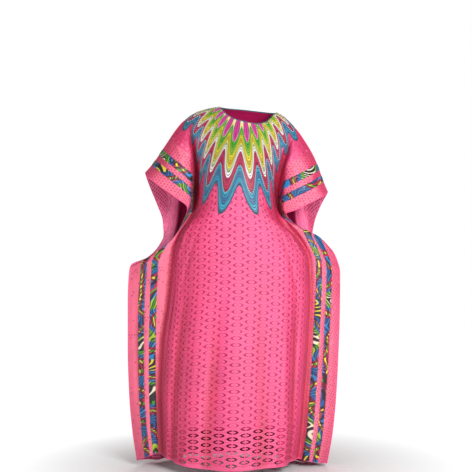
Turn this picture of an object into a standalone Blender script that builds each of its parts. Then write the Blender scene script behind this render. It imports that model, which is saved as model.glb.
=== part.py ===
"""Grand boubou robe: a front and a back panel, a star yoke and eight print strips.

Every piece is cut flat first and draped afterwards. The flat coordinates are u, across the
panel from its centre line, and v, down the panel from the shoulder fold. drape() takes flat
points to their place on the worn form, and each piece is laid at its own height over the
same lattice of draped points, so pieces follow each other facet for facet.
"""
import math

import bmesh
import bpy
import numpy as np

NAME = "grand_boubou"

# ---------------------------------------------------------------- sizes, in metres
HALF_WIDTH = 0.52
LENGTH = 1.44
PANEL_WALL = 0.0012
TRIM_WALL = 0.0010
SEAM_GAP = 0.0003
MITRE_LIMIT = 1.15
LEAST_COSINE = 0.1

NECK_CENTRE_U = 0.0275
NECK_HALF_WIDTH = 0.1095
NECK_DROP = {"front": 0.105, "back": 0.030}
NECK_CORNERS = 20
YOKE_NECK_MARGIN = 0.001

STAR_POINTS = 24
STAR_HALF_WIDTH = 0.285
STAR_DROP = {"front": 0.485, "back": 0.370}
STAR_VALLEY = 0.78
STAR_STEPS = 4
STAR_MARGIN = 0.06

STRIP_WIDTH = 0.027
OUTER_STRIP_INSET = 0.0600
INNER_STRIP_INSET = 0.1100

EYE_COLUMNS = 13
EYE_ROWS = 6
EYE_PITCH_U = 0.040
EYE_PITCH_V = 0.025
EYE_HALF_LENGTH = 0.0175
EYE_HALF_HEIGHT = 0.008
EYE_LOWEST = 0.018

CUTTER_REACH = 0.02
PAST_FOLD = 0.05
CLOTH_ROUGHNESS = 0.8
SHARP_ANGLE = math.radians(50.0)
SMOOTH_STEP = 0.006
SMOOTH_WEIGHTS = (1.0, 6.0, 15.0, 20.0, 15.0, 6.0, 1.0)
NORMAL_STEP = 0.003
RING_START = 0.30
PLEAT_SHARE = 0.34
PLEAT_STARTS = 0.10
PLEAT_EASING = 0.35
PLEAT_EASES_FROM = 0.25
PLEAT_EASES_OVER = 0.12
LEAST_WIDTH = 1e-4
FOLD_RISE = 1.6
ROUNDNESS = 0.8

# ---------------------------------------------------------------- where the worn form runs
# The shoulder fold, seen from the front: flat u, place x and z. Its y is 0.
SHOULDER = (
    # u, x, z
    (-0.520, -0.3771, -0.2573),
    (-0.465, -0.3432, -0.2183),
    (-0.385, -0.3011, -0.1571),
    (-0.288, -0.2496, -0.0818),
    (-0.245, -0.2235, -0.0533),
    (-0.172, -0.1654, -0.0178),
    (-0.108, -0.1072, -0.0038),
    (-0.082, -0.0819, -0.0007),
    (0.020, 0.0273, -0.0058),
    (0.137, 0.1365, -0.0233),
    (0.236, 0.2125, -0.0896),
    (0.280, 0.2379, -0.1247),
    (0.358, 0.2769, -0.1898),
    (0.410, 0.2964, -0.2351),
    (0.465, 0.3136, -0.2838),
    (0.520, 0.3338, -0.3322),
)

# The centre line of each panel: flat v, place x, y and z.
CENTRE = {
    "front": (
        # v, x, y, z
        (0.000, 0.000, 0.000, -0.003),
        (0.030, 0.000, -0.028, -0.010),
        (0.070, 0.000, -0.056, -0.038),
        (0.120, -0.001, -0.088, -0.078),
        (0.180, -0.003, -0.118, -0.130),
        (0.250, -0.006, -0.147, -0.193),
        (0.320, -0.009, -0.164, -0.261),
        (0.400, -0.011, -0.169, -0.340),
        (0.480, -0.012, -0.166, -0.420),
        (0.600, -0.013, -0.163, -0.540),
        (0.750, -0.015, -0.167, -0.690),
        (0.950, -0.022, -0.176, -0.888),
        (1.150, -0.030, -0.187, -1.086),
        (1.300, -0.036, -0.195, -1.236),
        (1.440, -0.042, -0.200, -1.376),
    ),
    "back": (
        # v, x, y, z
        (0.000, 0.000, 0.000, -0.003),
        (0.030, 0.000, 0.028, -0.010),
        (0.070, 0.000, 0.055, -0.038),
        (0.120, 0.000, 0.082, -0.080),
        (0.180, 0.000, 0.104, -0.135),
        (0.250, -0.003, 0.119, -0.203),
        (0.320, -0.006, 0.127, -0.272),
        (0.400, -0.010, 0.130, -0.352),
        (0.480, -0.012, 0.130, -0.432),
        (0.600, -0.013, 0.134, -0.552),
        (0.750, -0.015, 0.144, -0.701),
        (0.950, -0.022, 0.158, -0.900),
        (1.150, -0.030, 0.170, -1.098),
        (1.300, -0.036, 0.177, -1.247),
        (1.440, -0.042, 0.182, -1.385),
    ),
}

# One row a section. rim: the edge of the body's bulge, where the cloth turns into the crease.
# wing: where it comes out of the crease as sleeve or wing. turn: where the loose edge of the
# arm opening folds back behind the wing. edge: the panel's side edge.
# bow: how far the sleeve or wing swells between wing and edge.
SECTIONS = {
    ("front", -1): (
        # v, rim_u, rim_x, rim_y, rim_z, wing_u, wing_x, wing_y, wing_z,
        # turn_u, turn_x, turn_y, turn_z, edge_x, edge_y, edge_z, bow
        (0.00, 0.240, -0.2235, 0.0000, -0.0533, 0.241, -0.2239, 0.0000, -0.0537,
         0.408, -0.3148, 0.0000, -0.1759, -0.3771, 0.0000, -0.2573, 0.000),
        (0.03, 0.238, -0.2114, -0.0260, -0.0631, 0.262, -0.2191, -0.0260, -0.0767,
         0.417, -0.3067, -0.0260, -0.1953, -0.3684, -0.0260, -0.2724, 0.003),
        (0.07, 0.235, -0.1948, -0.0520, -0.0909, 0.290, -0.2084, -0.0500, -0.1215,
         0.428, -0.2869, -0.0500, -0.2252, -0.3432, -0.0500, -0.2911, 0.012),
        (0.12, 0.232, -0.1809, -0.0640, -0.1362, 0.335, -0.1984, -0.0580, -0.1838,
         0.446, -0.2599, -0.0592, -0.2671, -0.3040, -0.0600, -0.3204, 0.020),
        (0.18, 0.228, -0.1693, -0.0660, -0.1959, 0.405, -0.1925, -0.0600, -0.2762,
         0.474, -0.2275, -0.0612, -0.3251, -0.2520, -0.0620, -0.3570, 0.012),
        (0.25, 0.226, -0.1617, -0.0640, -0.2649, 0.470, -0.1966, -0.0560, -0.3606,
         0.498, -0.2060, -0.0600, -0.3800, -0.2101, -0.0540, -0.3952, 0.002),
        (0.32, 0.232, -0.1618, -0.0600, -0.3339, 0.400, -0.1957, -0.0300, -0.4062,
         0.445, -0.2153, -0.0260, -0.4235, -0.2307, 0.0120, -0.4482, 0.000),
        (0.40, 0.252, -0.1735, -0.0560, -0.4049, 0.345, -0.2240, -0.0460, -0.4586,
         0.385, -0.2433, -0.0450, -0.4818, -0.2711, 0.0340, -0.5187, 0.000),
        (0.44, 0.268, -0.1947, -0.0540, -0.4453, 0.340, -0.2451, -0.0480, -0.4914,
         0.382, -0.2606, -0.0470, -0.5049, -0.2988, 0.0370, -0.5522, 0.000),
        (0.48, 0.285, -0.2275, -0.0520, -0.4837, 0.342, -0.2624, -0.0480, -0.5261,
         0.392, -0.2820, -0.0430, -0.5262, -0.3304, 0.0380, -0.5856, 0.002),
        (0.52, 0.296, -0.2469, -0.0500, -0.5223, 0.345, -0.2741, -0.0470, -0.5531,
         0.414, -0.3116, -0.0340, -0.5514, -0.3614, 0.0320, -0.6130, 0.005),
        (0.56, 0.307, -0.2585, -0.0490, -0.5627, 0.349, -0.2811, -0.0460, -0.5801,
         0.462, -0.3671, -0.0180, -0.5865, -0.3935, 0.0180, -0.6303, 0.009),
        (0.60, 0.318, -0.2644, -0.0480, -0.6032, 0.352, -0.2858, -0.0440, -0.6072,
         0.505, -0.4189, -0.0040, -0.6179, -0.4348, 0.0000, -0.6231, 0.014),
        (0.75, 0.335, -0.2800, -0.0440, -0.7500, 0.365, -0.3014, -0.0420, -0.7501,
         0.458, -0.3873, -0.0168, -0.7563, -0.4446, 0.0000, -0.7604, 0.010),
        (0.95, 0.340, -0.3033, -0.0420, -0.9316, 0.385, -0.3247, -0.0400, -0.9318,
         0.466, -0.3966, -0.0160, -0.9389, -0.4446, 0.0000, -0.9437, 0.008),
        (1.15, 0.335, -0.3091, -0.0420, -1.1130, 0.395, -0.3324, -0.0400, -1.1133,
         0.470, -0.3962, -0.0160, -1.1215, -0.4387, 0.0000, -1.1270, 0.010),
        (1.30, 0.330, -0.3051, -0.0440, -1.2478, 0.405, -0.3323, -0.0420, -1.2482,
         0.474, -0.3891, -0.0168, -1.2550, -0.4270, 0.0000, -1.2596, 0.012),
        (1.44, 0.325, -0.2991, -0.0480, -1.3512, 0.415, -0.3321, -0.0440, -1.3404,
         0.478, -0.3786, -0.0176, -1.3621, -0.4095, 0.0000, -1.3766, 0.012),
    ),
    ("front", 1): (
        # v, rim_u, rim_x, rim_y, rim_z, wing_u, wing_x, wing_y, wing_z,
        # turn_u, turn_x, turn_y, turn_z, edge_x, edge_y, edge_z, bow
        (0.00, 0.235, 0.2125, 0.0000, -0.0896, 0.236, 0.2129, 0.0000, -0.0900,
         0.406, 0.2952, 0.0000, -0.2321, 0.3338, 0.0000, -0.3322, 0.000),
        (0.03, 0.233, 0.1975, -0.0260, -0.0980, 0.260, 0.2033, -0.0260, -0.1135,
         0.416, 0.2826, -0.0260, -0.2490, 0.3235, -0.0260, -0.3433, 0.003),
        (0.07, 0.230, 0.1788, -0.0520, -0.1275, 0.290, 0.1905, -0.0500, -0.1600,
         0.428, 0.2603, -0.0500, -0.2767, 0.3003, -0.0500, -0.3566, 0.012),
        (0.12, 0.226, 0.1590, -0.0640, -0.1727, 0.335, 0.1747, -0.0580, -0.2184,
         0.446, 0.2250, -0.0592, -0.3138, 0.2572, -0.0600, -0.3781, 0.020),
        (0.18, 0.220, 0.1340, -0.0660, -0.2266, 0.405, 0.1592, -0.0600, -0.3031,
         0.474, 0.1864, -0.0612, -0.3631, 0.2052, -0.0620, -0.4031, 0.012),
        (0.25, 0.215, 0.1187, -0.0640, -0.2918, 0.470, 0.1536, -0.0560, -0.3837,
         0.498, 0.1642, -0.0600, -0.4030, 0.1691, -0.0540, -0.4183, 0.002),
        (0.32, 0.222, 0.1161, -0.0600, -0.3608, 0.400, 0.1586, -0.0300, -0.4256,
         0.445, 0.1820, -0.0260, -0.4410, 0.2063, 0.0171, -0.4599, 0.000),
        (0.40, 0.245, 0.1285, -0.0580, -0.4299, 0.345, 0.1906, -0.0470, -0.4606,
         0.392, 0.2217, -0.0440, -0.4683, 0.2594, 0.0300, -0.5109, 0.000),
        (0.44, 0.265, 0.1536, -0.0560, -0.4684, 0.358, 0.2155, -0.0500, -0.4876,
         0.420, 0.2567, -0.0400, -0.4837, 0.2943, 0.0240, -0.5305, 0.003),
        (0.48, 0.285, 0.1903, -0.0540, -0.4992, 0.368, 0.2348, -0.0500, -0.5146,
         0.485, 0.3083, -0.0220, -0.5127, 0.3265, 0.0100, -0.5382, 0.006),
        (0.52, 0.302, 0.2173, -0.0530, -0.5280, 0.373, 0.2503, -0.0490, -0.5415,
         0.505, 0.3423, -0.0100, -0.5536, 0.3547, -0.0020, -0.5654, 0.010),
        (0.56, 0.318, 0.2367, -0.0510, -0.5569, 0.376, 0.2619, -0.0480, -0.5647,
         0.505, 0.3603, -0.0050, -0.5965, 0.3717, 0.0000, -0.6025, 0.012),
        (0.60, 0.330, 0.2502, -0.0500, -0.5839, 0.378, 0.2696, -0.0480, -0.5878,
         0.505, 0.3722, -0.0030, -0.6375, 0.3814, 0.0000, -0.6434, 0.014),
        (0.75, 0.345, 0.2563, -0.0460, -0.7267, 0.388, 0.2776, -0.0440, -0.7268,
         0.467, 0.3394, -0.0176, -0.7610, 0.3806, 0.0000, -0.7838, 0.010),
        (0.95, 0.345, 0.2487, -0.0440, -0.9082, 0.395, 0.2720, -0.0420, -0.9123,
         0.470, 0.3339, -0.0168, -0.9381, 0.3752, 0.0000, -0.9554, 0.008),
        (1.15, 0.338, 0.2352, -0.0440, -1.0857, 0.395, 0.2604, -0.0420, -1.0899,
         0.470, 0.3236, -0.0168, -1.1168, 0.3658, 0.0000, -1.1348, 0.010),
        (1.30, 0.330, 0.2235, -0.0460, -1.2320, 0.395, 0.2506, -0.0440, -1.2362,
         0.470, 0.3113, -0.0176, -1.2596, 0.3518, 0.0000, -1.2752, 0.012),
        (1.44, 0.322, 0.2059, -0.0500, -1.3623, 0.400, 0.2350, -0.0460, -1.3670,
         0.472, 0.2929, -0.0184, -1.3798, 0.3315, 0.0000, -1.3883, 0.012),
    ),
    ("back", -1): (
        # v, rim_u, rim_x, rim_y, rim_z, wing_u, wing_x, wing_y, wing_z,
        # turn_u, turn_x, turn_y, turn_z, edge_x, edge_y, edge_z, bow
        (0.00, 0.240, -0.2235, 0.0000, -0.0533, 0.241, -0.2239, 0.0000, -0.0537,
         0.408, -0.3148, 0.0000, -0.1759, -0.3771, 0.0000, -0.2573, 0.000),
        (0.03, 0.238, -0.2176, 0.0240, -0.0637, 0.262, -0.2293, 0.0240, -0.0833,
         0.417, -0.3145, 0.0240, -0.1974, -0.3744, 0.0240, -0.2716, 0.002),
        (0.07, 0.235, -0.2148, 0.0500, -0.0886, 0.280, -0.2365, 0.0500, -0.1241,
         0.424, -0.3124, 0.0500, -0.2300, -0.3667, 0.0500, -0.2978, 0.006),
        (0.12, 0.230, -0.2159, 0.0740, -0.1319, 0.300, -0.2456, 0.0740, -0.1736,
         0.432, -0.3080, 0.0728, -0.2727, -0.3526, 0.0720, -0.3364, 0.010),
        (0.18, 0.225, -0.2186, 0.0900, -0.1883, 0.320, -0.2544, 0.0900, -0.2361,
         0.440, -0.3013, 0.0912, -0.3253, -0.3343, 0.0920, -0.3834, 0.012),
        (0.25, 0.220, -0.2229, 0.0980, -0.2576, 0.335, -0.2609, 0.0990, -0.3074,
         0.446, -0.2935, 0.1056, -0.3865, -0.3156, 0.1100, -0.4390, 0.012),
        (0.32, 0.225, -0.2310, 0.1000, -0.3293, 0.335, -0.2690, 0.1010, -0.3792,
         0.446, -0.2947, 0.1088, -0.4487, -0.3118, 0.1140, -0.4950, 0.010),
        (0.40, 0.240, -0.2429, 0.0970, -0.4112, 0.340, -0.2788, 0.0980, -0.4551,
         0.448, -0.3123, 0.0980, -0.5102, -0.3347, 0.0980, -0.5469, 0.006),
        (0.48, 0.262, -0.2564, 0.0900, -0.4930, 0.345, -0.2903, 0.0900, -0.5269,
         0.450, -0.3393, 0.0756, -0.5625, -0.3720, 0.0660, -0.5862, 0.008),
        (0.60, 0.285, -0.2718, 0.0800, -0.6143, 0.345, -0.3015, 0.0780, -0.6301,
         0.450, -0.3815, 0.0312, -0.6252, -0.4348, 0.0000, -0.6220, 0.010),
        (0.75, 0.300, -0.2894, 0.0760, -0.7651, 0.360, -0.3190, 0.0730, -0.7728,
         0.456, -0.3944, 0.0292, -0.7654, -0.4446, 0.0000, -0.7604, 0.010),
        (0.95, 0.310, -0.3054, 0.0780, -0.9519, 0.375, -0.3349, 0.0740, -0.9554,
         0.462, -0.4007, 0.0296, -0.9484, -0.4446, 0.0000, -0.9437, 0.008),
        (1.15, 0.312, -0.3156, 0.0820, -1.1392, 0.385, -0.3471, 0.0770, -1.1424,
         0.466, -0.4021, 0.0308, -1.1332, -0.4387, 0.0000, -1.1270, 0.008),
        (1.30, 0.312, -0.3178, 0.0850, -1.2749, 0.392, -0.3512, 0.0790, -1.2778,
         0.469, -0.3967, 0.0316, -1.2669, -0.4270, 0.0000, -1.2596, 0.010),
        (1.44, 0.312, -0.3161, 0.0880, -1.3869, 0.398, -0.3513, 0.0800, -1.3893,
         0.471, -0.3862, 0.0320, -1.3817, -0.4095, 0.0000, -1.3766, 0.010),
    ),
    ("back", 1): (
        # v, rim_u, rim_x, rim_y, rim_z, wing_u, wing_x, wing_y, wing_z,
        # turn_u, turn_x, turn_y, turn_z, edge_x, edge_y, edge_z, bow
        (0.00, 0.235, 0.2125, 0.0000, -0.0896, 0.236, 0.2129, 0.0000, -0.0900,
         0.406, 0.2952, 0.0000, -0.2321, 0.3338, 0.0000, -0.3322, 0.000),
        (0.03, 0.233, 0.2061, 0.0240, -0.1010, 0.258, 0.2119, 0.0240, -0.1186,
         0.415, 0.2900, 0.0240, -0.2515, 0.3296, 0.0240, -0.3441, 0.002),
        (0.07, 0.230, 0.1996, 0.0500, -0.1281, 0.277, 0.2154, 0.0500, -0.1636,
         0.423, 0.2818, 0.0500, -0.2840, 0.3180, 0.0500, -0.3668, 0.006),
        (0.12, 0.225, 0.1949, 0.0740, -0.1716, 0.297, 0.2207, 0.0740, -0.2173,
         0.431, 0.2722, 0.0752, -0.3283, 0.3022, 0.0760, -0.4037, 0.010),
        (0.18, 0.220, 0.1917, 0.0900, -0.2281, 0.318, 0.2236, 0.0900, -0.2799,
         0.439, 0.2631, 0.0960, -0.3811, 0.2880, 0.1000, -0.4491, 0.012),
        (0.25, 0.216, 0.1901, 0.0980, -0.2955, 0.333, 0.2262, 0.1010, -0.3492,
         0.445, 0.2595, 0.1124, -0.4390, 0.2815, 0.1200, -0.4990, 0.012),
        (0.32, 0.221, 0.1942, 0.1000, -0.3672, 0.333, 0.2303, 0.1030, -0.4151,
         0.445, 0.2660, 0.1156, -0.4943, 0.2898, 0.1240, -0.5472, 0.010),
        (0.40, 0.236, 0.2060, 0.0970, -0.4431, 0.338, 0.2381, 0.1000, -0.4830,
         0.447, 0.2804, 0.1048, -0.5454, 0.3086, 0.1080, -0.5870, 0.006),
        (0.48, 0.260, 0.2256, 0.0900, -0.5229, 0.344, 0.2536, 0.0920, -0.5508,
         0.450, 0.3042, 0.0824, -0.5900, 0.3379, 0.0760, -0.6162, 0.008),
        (0.60, 0.285, 0.2469, 0.0800, -0.6381, 0.348, 0.2745, 0.0780, -0.6460,
         0.451, 0.3387, 0.0312, -0.6444, 0.3814, 0.0000, -0.6434, 0.010),
        (0.75, 0.300, 0.2565, 0.0760, -0.7809, 0.362, 0.2841, 0.0730, -0.7847,
         0.457, 0.3420, 0.0292, -0.7842, 0.3806, 0.0000, -0.7838, 0.010),
        (0.95, 0.310, 0.2547, 0.0780, -0.9638, 0.376, 0.2842, 0.0740, -0.9634,
         0.462, 0.3388, 0.0296, -0.9586, 0.3752, 0.0000, -0.9554, 0.008),
        (1.15, 0.312, 0.2450, 0.0820, -1.1471, 0.386, 0.2764, 0.0770, -1.1464,
         0.466, 0.3301, 0.0308, -1.1394, 0.3658, 0.0000, -1.1348, 0.008),
        (1.30, 0.312, 0.2352, 0.0850, -1.2868, 0.392, 0.2667, 0.0790, -1.2897,
         0.469, 0.3177, 0.0316, -1.2810, 0.3518, 0.0000, -1.2752, 0.010),
        (1.44, 0.312, 0.2255, 0.0880, -1.3949, 0.398, 0.2568, 0.0800, -1.3972,
         0.471, 0.3016, 0.0320, -1.3919, 0.3315, 0.0000, -1.3883, 0.010),
    ),
}

# Large soft folds, a row each: where they start and end, their half width and their height
# (a ridge) or depth (a trough, below 0) at the lower end.
FOLDS = {
    "front": (
        # u0, v0, u1, v1, half_width, height
        (-0.170, 0.50, -0.235, 1.44, 0.034, -0.013),
        (-0.110, 0.62, -0.150, 1.44, 0.040, 0.009),
        (-0.050, 0.78, -0.075, 1.44, 0.034, -0.009),
        (0.000, 0.42, 0.010, 1.44, 0.046, 0.007),
        (0.075, 0.70, 0.100, 1.44, 0.036, -0.011),
        (0.130, 0.48, 0.175, 1.44, 0.040, 0.010),
        (0.190, 0.56, 0.250, 1.44, 0.034, -0.014),
    ),
    "back": (
        # u0, v0, u1, v1, half_width, height
        (-0.185, 0.16, -0.250, 1.44, 0.036, -0.020),
        (-0.120, 0.20, -0.165, 1.44, 0.040, 0.012),
        (-0.065, 0.34, -0.085, 1.44, 0.034, -0.014),
        (0.005, 0.26, 0.000, 1.44, 0.044, 0.013),
        (0.080, 0.22, 0.095, 1.44, 0.034, -0.016),
        (0.135, 0.30, 0.180, 1.44, 0.040, 0.011),
        (0.195, 0.14, 0.262, 1.44, 0.036, -0.021),
    ),
}

# ---------------------------------------------------------------- the lattice all pieces share
STRIP_EDGES = tuple(
    HALF_WIDTH - inset + side * STRIP_WIDTH / 2
    for inset in (INNER_STRIP_INSET, OUTER_STRIP_INSET)
    for side in (-1, 1)
)
HALF_COLUMNS = {
    "front": (
        0.024, 0.072, 0.120, 0.168, 0.192, 0.216, 0.240, 0.264, 0.288, 0.312, 0.336, 0.360, 0.378,
    ) + STRIP_EDGES + (0.4965, HALF_WIDTH),
    "back": (
        0.024, 0.072, 0.120, 0.168, 0.204, 0.240, 0.276, 0.312, 0.345, 0.372,
    ) + STRIP_EDGES + (HALF_WIDTH,),
}
COLUMNS = {
    panel: np.array([-u for u in reversed(half)] + list(half)) for panel, half in HALF_COLUMNS.items()
}
ROWS = np.array((
    0.0000, 0.0300, 0.0700, 0.1100, 0.1550, 0.2000, 0.2420, 0.2714, 0.3006, 0.3246, 0.3534,
    0.3954, 0.4344, 0.4800, 0.5200, 0.5600, 0.6000, 0.7000, 0.8200, 0.9500, 1.0800, 1.1900,
    1.2720, 1.3345, 1.3845, LENGTH,
))
CREASE_OUT_TO = 0.25
CREASE_IN_TO = 0.42

FACING = {"front": -1.0, "back": 1.0}
COLOURS = {
    "lace": (0.82, 0.07, 0.26, 1.0),
    "yoke": (0.10, 0.36, 0.42, 1.0),
    "print": (0.05, 0.16, 0.34, 1.0),
}


def through(table, column, v):
    """A smooth line through one column of a table that never overshoots a row. The first
    column is the station."""
    rows = np.array(table)
    at = rows[:, 0]
    value = rows[:, column]
    steps = np.diff(at)
    slopes = np.diff(value) / steps
    tangent = np.empty_like(value)
    tangent[0] = slopes[0]
    tangent[-1] = slopes[-1]
    same_way = slopes[:-1] * slopes[1:] > 0
    both = np.where(same_way, slopes[:-1] + slopes[1:], 1.0)
    tangent[1:-1] = np.where(same_way, 2 * slopes[:-1] * slopes[1:] / both, 0.0)
    place = np.clip(v, at[0], at[-1])
    low = np.clip(np.searchsorted(at, place, side="right") - 1, 0, len(at) - 2)
    t = (place - at[low]) / steps[low]
    rise = value[low] * (1 + 2 * t) * (1 - t) ** 2 + value[low + 1] * t * t * (3 - 2 * t)
    turn = tangent[low] * t * (1 - t) ** 2 - tangent[low + 1] * t * t * (1 - t)
    return rise + turn * steps[low]


def ease(t):
    """0 to 1 with a soft start and end."""
    t = np.clip(t, 0.0, 1.0)
    return t * t * (3.0 - 2.0 * t)


def shoulder(u):
    """The shoulder fold at flat u."""
    return np.stack([through(SHOULDER, 1, u), np.zeros_like(u), through(SHOULDER, 2, u)], axis=-1)


def raw_side(panel, side, u, v):
    """One side of a panel before smoothing: body, crease and wing, joined end to end."""
    table = SECTIONS[(panel, side)]
    facing = FACING[panel]
    across = np.abs(u)
    rim_u = through(table, 1, v)
    wing_u = through(table, 5, v)
    rim = np.stack([through(table, k, v) for k in (2, 3, 4)], axis=-1)
    wing = np.stack([through(table, k, v) for k in (6, 7, 8)], axis=-1)
    turn_u = through(table, 9, v)
    turn = np.stack([through(table, k, v) for k in (10, 11, 12)], axis=-1)
    edge = np.stack([through(table, k, v) for k in (13, 14, 15)], axis=-1)
    bow = through(table, 16, v)
    centre = np.stack([through(CENTRE[panel], k, v) for k in (1, 2, 3)], axis=-1)
    fold_line = shoulder(side * across)
    fold_centre = shoulder(np.zeros_like(u))
    fold_rim = shoulder(side * rim_u)
    fold_wing = shoulder(side * wing_u)
    fold_turn = shoulder(side * turn_u)
    fold_edge = shoulder(np.full_like(u, side * HALF_WIDTH))
    ring = ease(v / RING_START)[..., None]

    f = np.clip(across / rim_u, 0.0, 1.0)[..., None]
    angle = f * math.pi / 2
    hung = fold_line + (centre - fold_centre) * (1 - f) + (rim - fold_rim) * f
    shares = np.concatenate([np.sin(angle), 1 - np.cos(angle), f * f * (3 - 2 * f)], axis=-1)
    body = (1 - ring) * hung + ring * (centre + (rim - centre) * shares)

    width = np.maximum(wing_u - rim_u, LEAST_WIDTH)
    r = np.clip((across - rim_u) / width, 0.0, 1.0)[..., None]
    hung = fold_line + (rim - fold_rim) * (1 - r) + (wing - fold_wing) * r
    pleat = (1 - ring) * hung + ring * (rim + (wing - rim) * (r + ease(r)) / 2)
    eased = 1 - PLEAT_EASING * ease((v - PLEAT_EASES_FROM) / PLEAT_EASES_OVER)
    depth = PLEAT_SHARE * width * ease(v / PLEAT_STARTS) * eased
    pleat[..., 1] -= facing * depth * np.sin(r[..., 0] * math.pi) ** ROUNDNESS

    q = np.clip((across - wing_u) / (turn_u - wing_u), 0.0, 1.0)[..., None]
    hung = fold_line + (wing - fold_wing) * (1 - q) + (turn - fold_turn) * q
    outer = (1 - ring) * hung + ring * (wing + (turn - wing) * q)

    e = np.clip((across - turn_u) / (HALF_WIDTH - turn_u), 0.0, 1.0)[..., None]
    hung = fold_line + (turn - fold_turn) * (1 - e) + (edge - fold_edge) * e
    loose = (1 - ring) * hung + ring * (turn + (edge - turn) * e)

    in_body = (across <= rim_u)[..., None]
    in_pleat = (across <= wing_u)[..., None]
    in_outer = (across <= turn_u)[..., None]
    place = np.where(in_body, body, np.where(in_pleat, pleat, np.where(in_outer, outer, loose)))
    swell = np.clip((across - wing_u) / (HALF_WIDTH - wing_u), 0.0, 1.0)
    place[..., 1] += facing * bow * np.sin(swell * math.pi)
    return place


def raw_panel(panel, u, v):
    """A panel before smoothing. Past a side edge it runs on straight, mirrored in the edge."""
    inside = np.clip(u, -HALF_WIDTH, HALF_WIDTH)
    mirrored = 2 * inside - u
    near = np.where((mirrored < 0)[..., None], raw_side(panel, -1, mirrored, v),
                    raw_side(panel, 1, mirrored, v))
    at_edge = np.where((inside < 0)[..., None], raw_side(panel, -1, inside, v),
                       raw_side(panel, 1, inside, v))
    return np.where((u == inside)[..., None], near, 2 * at_edge - near)


def smooth_panel(panel, u, v):
    """A panel averaged over neighbouring u, which rounds the rims of the crease."""
    total = sum(SMOOTH_WEIGHTS)
    half = len(SMOOTH_WEIGHTS) // 2
    result = np.zeros(u.shape + (3,))
    for k, weight in enumerate(SMOOTH_WEIGHTS):
        result += weight / total * raw_panel(panel, u + (k - half) * SMOOTH_STEP, v)
    return result


def outward(panel, u, v):
    """The outward normal of the smooth panel."""
    step = NORMAL_STEP
    over = np.minimum(v + step, LENGTH)
    under = np.maximum(v - step, 0.0)
    along_u = smooth_panel(panel, u + step, v) - smooth_panel(panel, u - step, v)
    along_v = smooth_panel(panel, u, over) - smooth_panel(panel, u, under)
    normal = np.cross(along_v, along_u) * -FACING[panel]
    return normal / np.linalg.norm(normal, axis=-1, keepdims=True)


def drape(panel, u, v):
    """Flat u, v to the inner face of the worn panel."""
    lift = np.zeros_like(u)
    for u0, v0, u1, v1, half_width, height in FOLDS[panel]:
        t = np.clip((v - v0) / (v1 - v0), 0.0, 1.0)
        away = (u - (u0 + (u1 - u0) * t)) / half_width
        lift += height * ease(t * FOLD_RISE) * np.exp(-away * away)
    place = smooth_panel(panel, u, v) + lift[..., None] * outward(panel, u, v)
    place[..., 1] += FACING[panel] * SEAM_GAP / 2
    return place


def first_diagonal(panel, row, column):
    """Whether a cell is cut from its lower-u upper corner to its higher-u lower corner. Cells
    follow the crease: away from the centre line as it goes down, then back, then away."""
    middle_v = (ROWS[row] + ROWS[row + 1]) / 2
    leans_out = middle_v < CREASE_OUT_TO or middle_v > CREASE_IN_TO
    right = COLUMNS[panel][column] + COLUMNS[panel][column + 1] > 0
    return leans_out == right


def cell_triangles(panel, row, column):
    """The corners of a cell's two triangles, as (row, column) pairs."""
    a = (row, column)
    b = (row, column + 1)
    c = (row + 1, column + 1)
    d = (row + 1, column)
    if first_diagonal(panel, row, column):
        return (a, b, c), (a, c, d)
    return (a, b, d), (b, c, d)


def lattice(panel):
    """The draped lattice points and the offset that one metre of height gives at each."""
    v, u = np.meshgrid(ROWS, COLUMNS[panel], indexing="ij")
    points = drape(panel, u, v)
    total = np.zeros_like(points)
    facets = []
    for row in range(len(ROWS) - 1):
        for column in range(len(COLUMNS[panel]) - 1):
            for corners in cell_triangles(panel, row, column):
                p, q, r = (points[c] for c in corners)
                normal = np.cross(q - p, r - p) * FACING[panel]
                facets.append((corners, normal / np.linalg.norm(normal)))
                for corner in corners:
                    total[corner] += normal
    top = points[0]
    along = np.gradient(top, axis=0)
    total[0] = np.stack([-along[:, 2], np.zeros(len(top)), along[:, 0]], axis=-1)
    normals = total / np.linalg.norm(total, axis=-1, keepdims=True)
    least = np.ones(points.shape[:2])
    for corners, normal in facets:
        for corner in corners:
            least[corner] = min(least[corner], float(normals[corner] @ normal))
    mitre = np.clip(1.0 / np.maximum(least, LEAST_COSINE), 1.0, MITRE_LIMIT)
    return points, normals * mitre[..., None]


def lay(obj, panel, points, offsets):
    """Move a flat slab, x = u, y = -v, z = height, onto the draped lattice."""
    mesh = obj.data
    flat = np.empty(len(mesh.vertices) * 3)
    mesh.vertices.foreach_get("co", flat)
    flat = flat.reshape(-1, 3)
    u = np.clip(flat[:, 0], -HALF_WIDTH, HALF_WIDTH)
    v = np.clip(-flat[:, 1], 0.0, LENGTH)
    columns = COLUMNS[panel]
    column = np.clip(np.searchsorted(columns, u, side="right") - 1, 0, len(columns) - 2)
    row = np.clip(np.searchsorted(ROWS, v, side="right") - 1, 0, len(ROWS) - 2)
    s = (u - columns[column]) / (columns[column + 1] - columns[column])
    t = (v - ROWS[row]) / (ROWS[row + 1] - ROWS[row])
    first = np.array([first_diagonal(panel, r, c) for r, c in zip(row, column)])
    shares = {
        (0, 0): np.where(first, 1 - np.maximum(s, t), np.maximum(1 - s - t, 0.0)),
        (0, 1): np.where(first, np.maximum(s - t, 0.0), np.where(s + t < 1, s, 1 - t)),
        (1, 1): np.where(first, np.minimum(s, t), np.maximum(s + t - 1, 0.0)),
        (1, 0): np.where(first, np.maximum(t - s, 0.0), np.where(s + t < 1, t, 1 - s)),
    }
    place = np.zeros_like(flat)
    for (down, over), share in shares.items():
        corner = points[row + down, column + over] + offsets[row + down, column + over] * flat[:, 2:3]
        place += share[:, None] * corner
    mesh.vertices.foreach_set("co", place.ravel())
    if FACING[panel] > 0:
        mesh.flip_normals()
    mesh.update()


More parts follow.
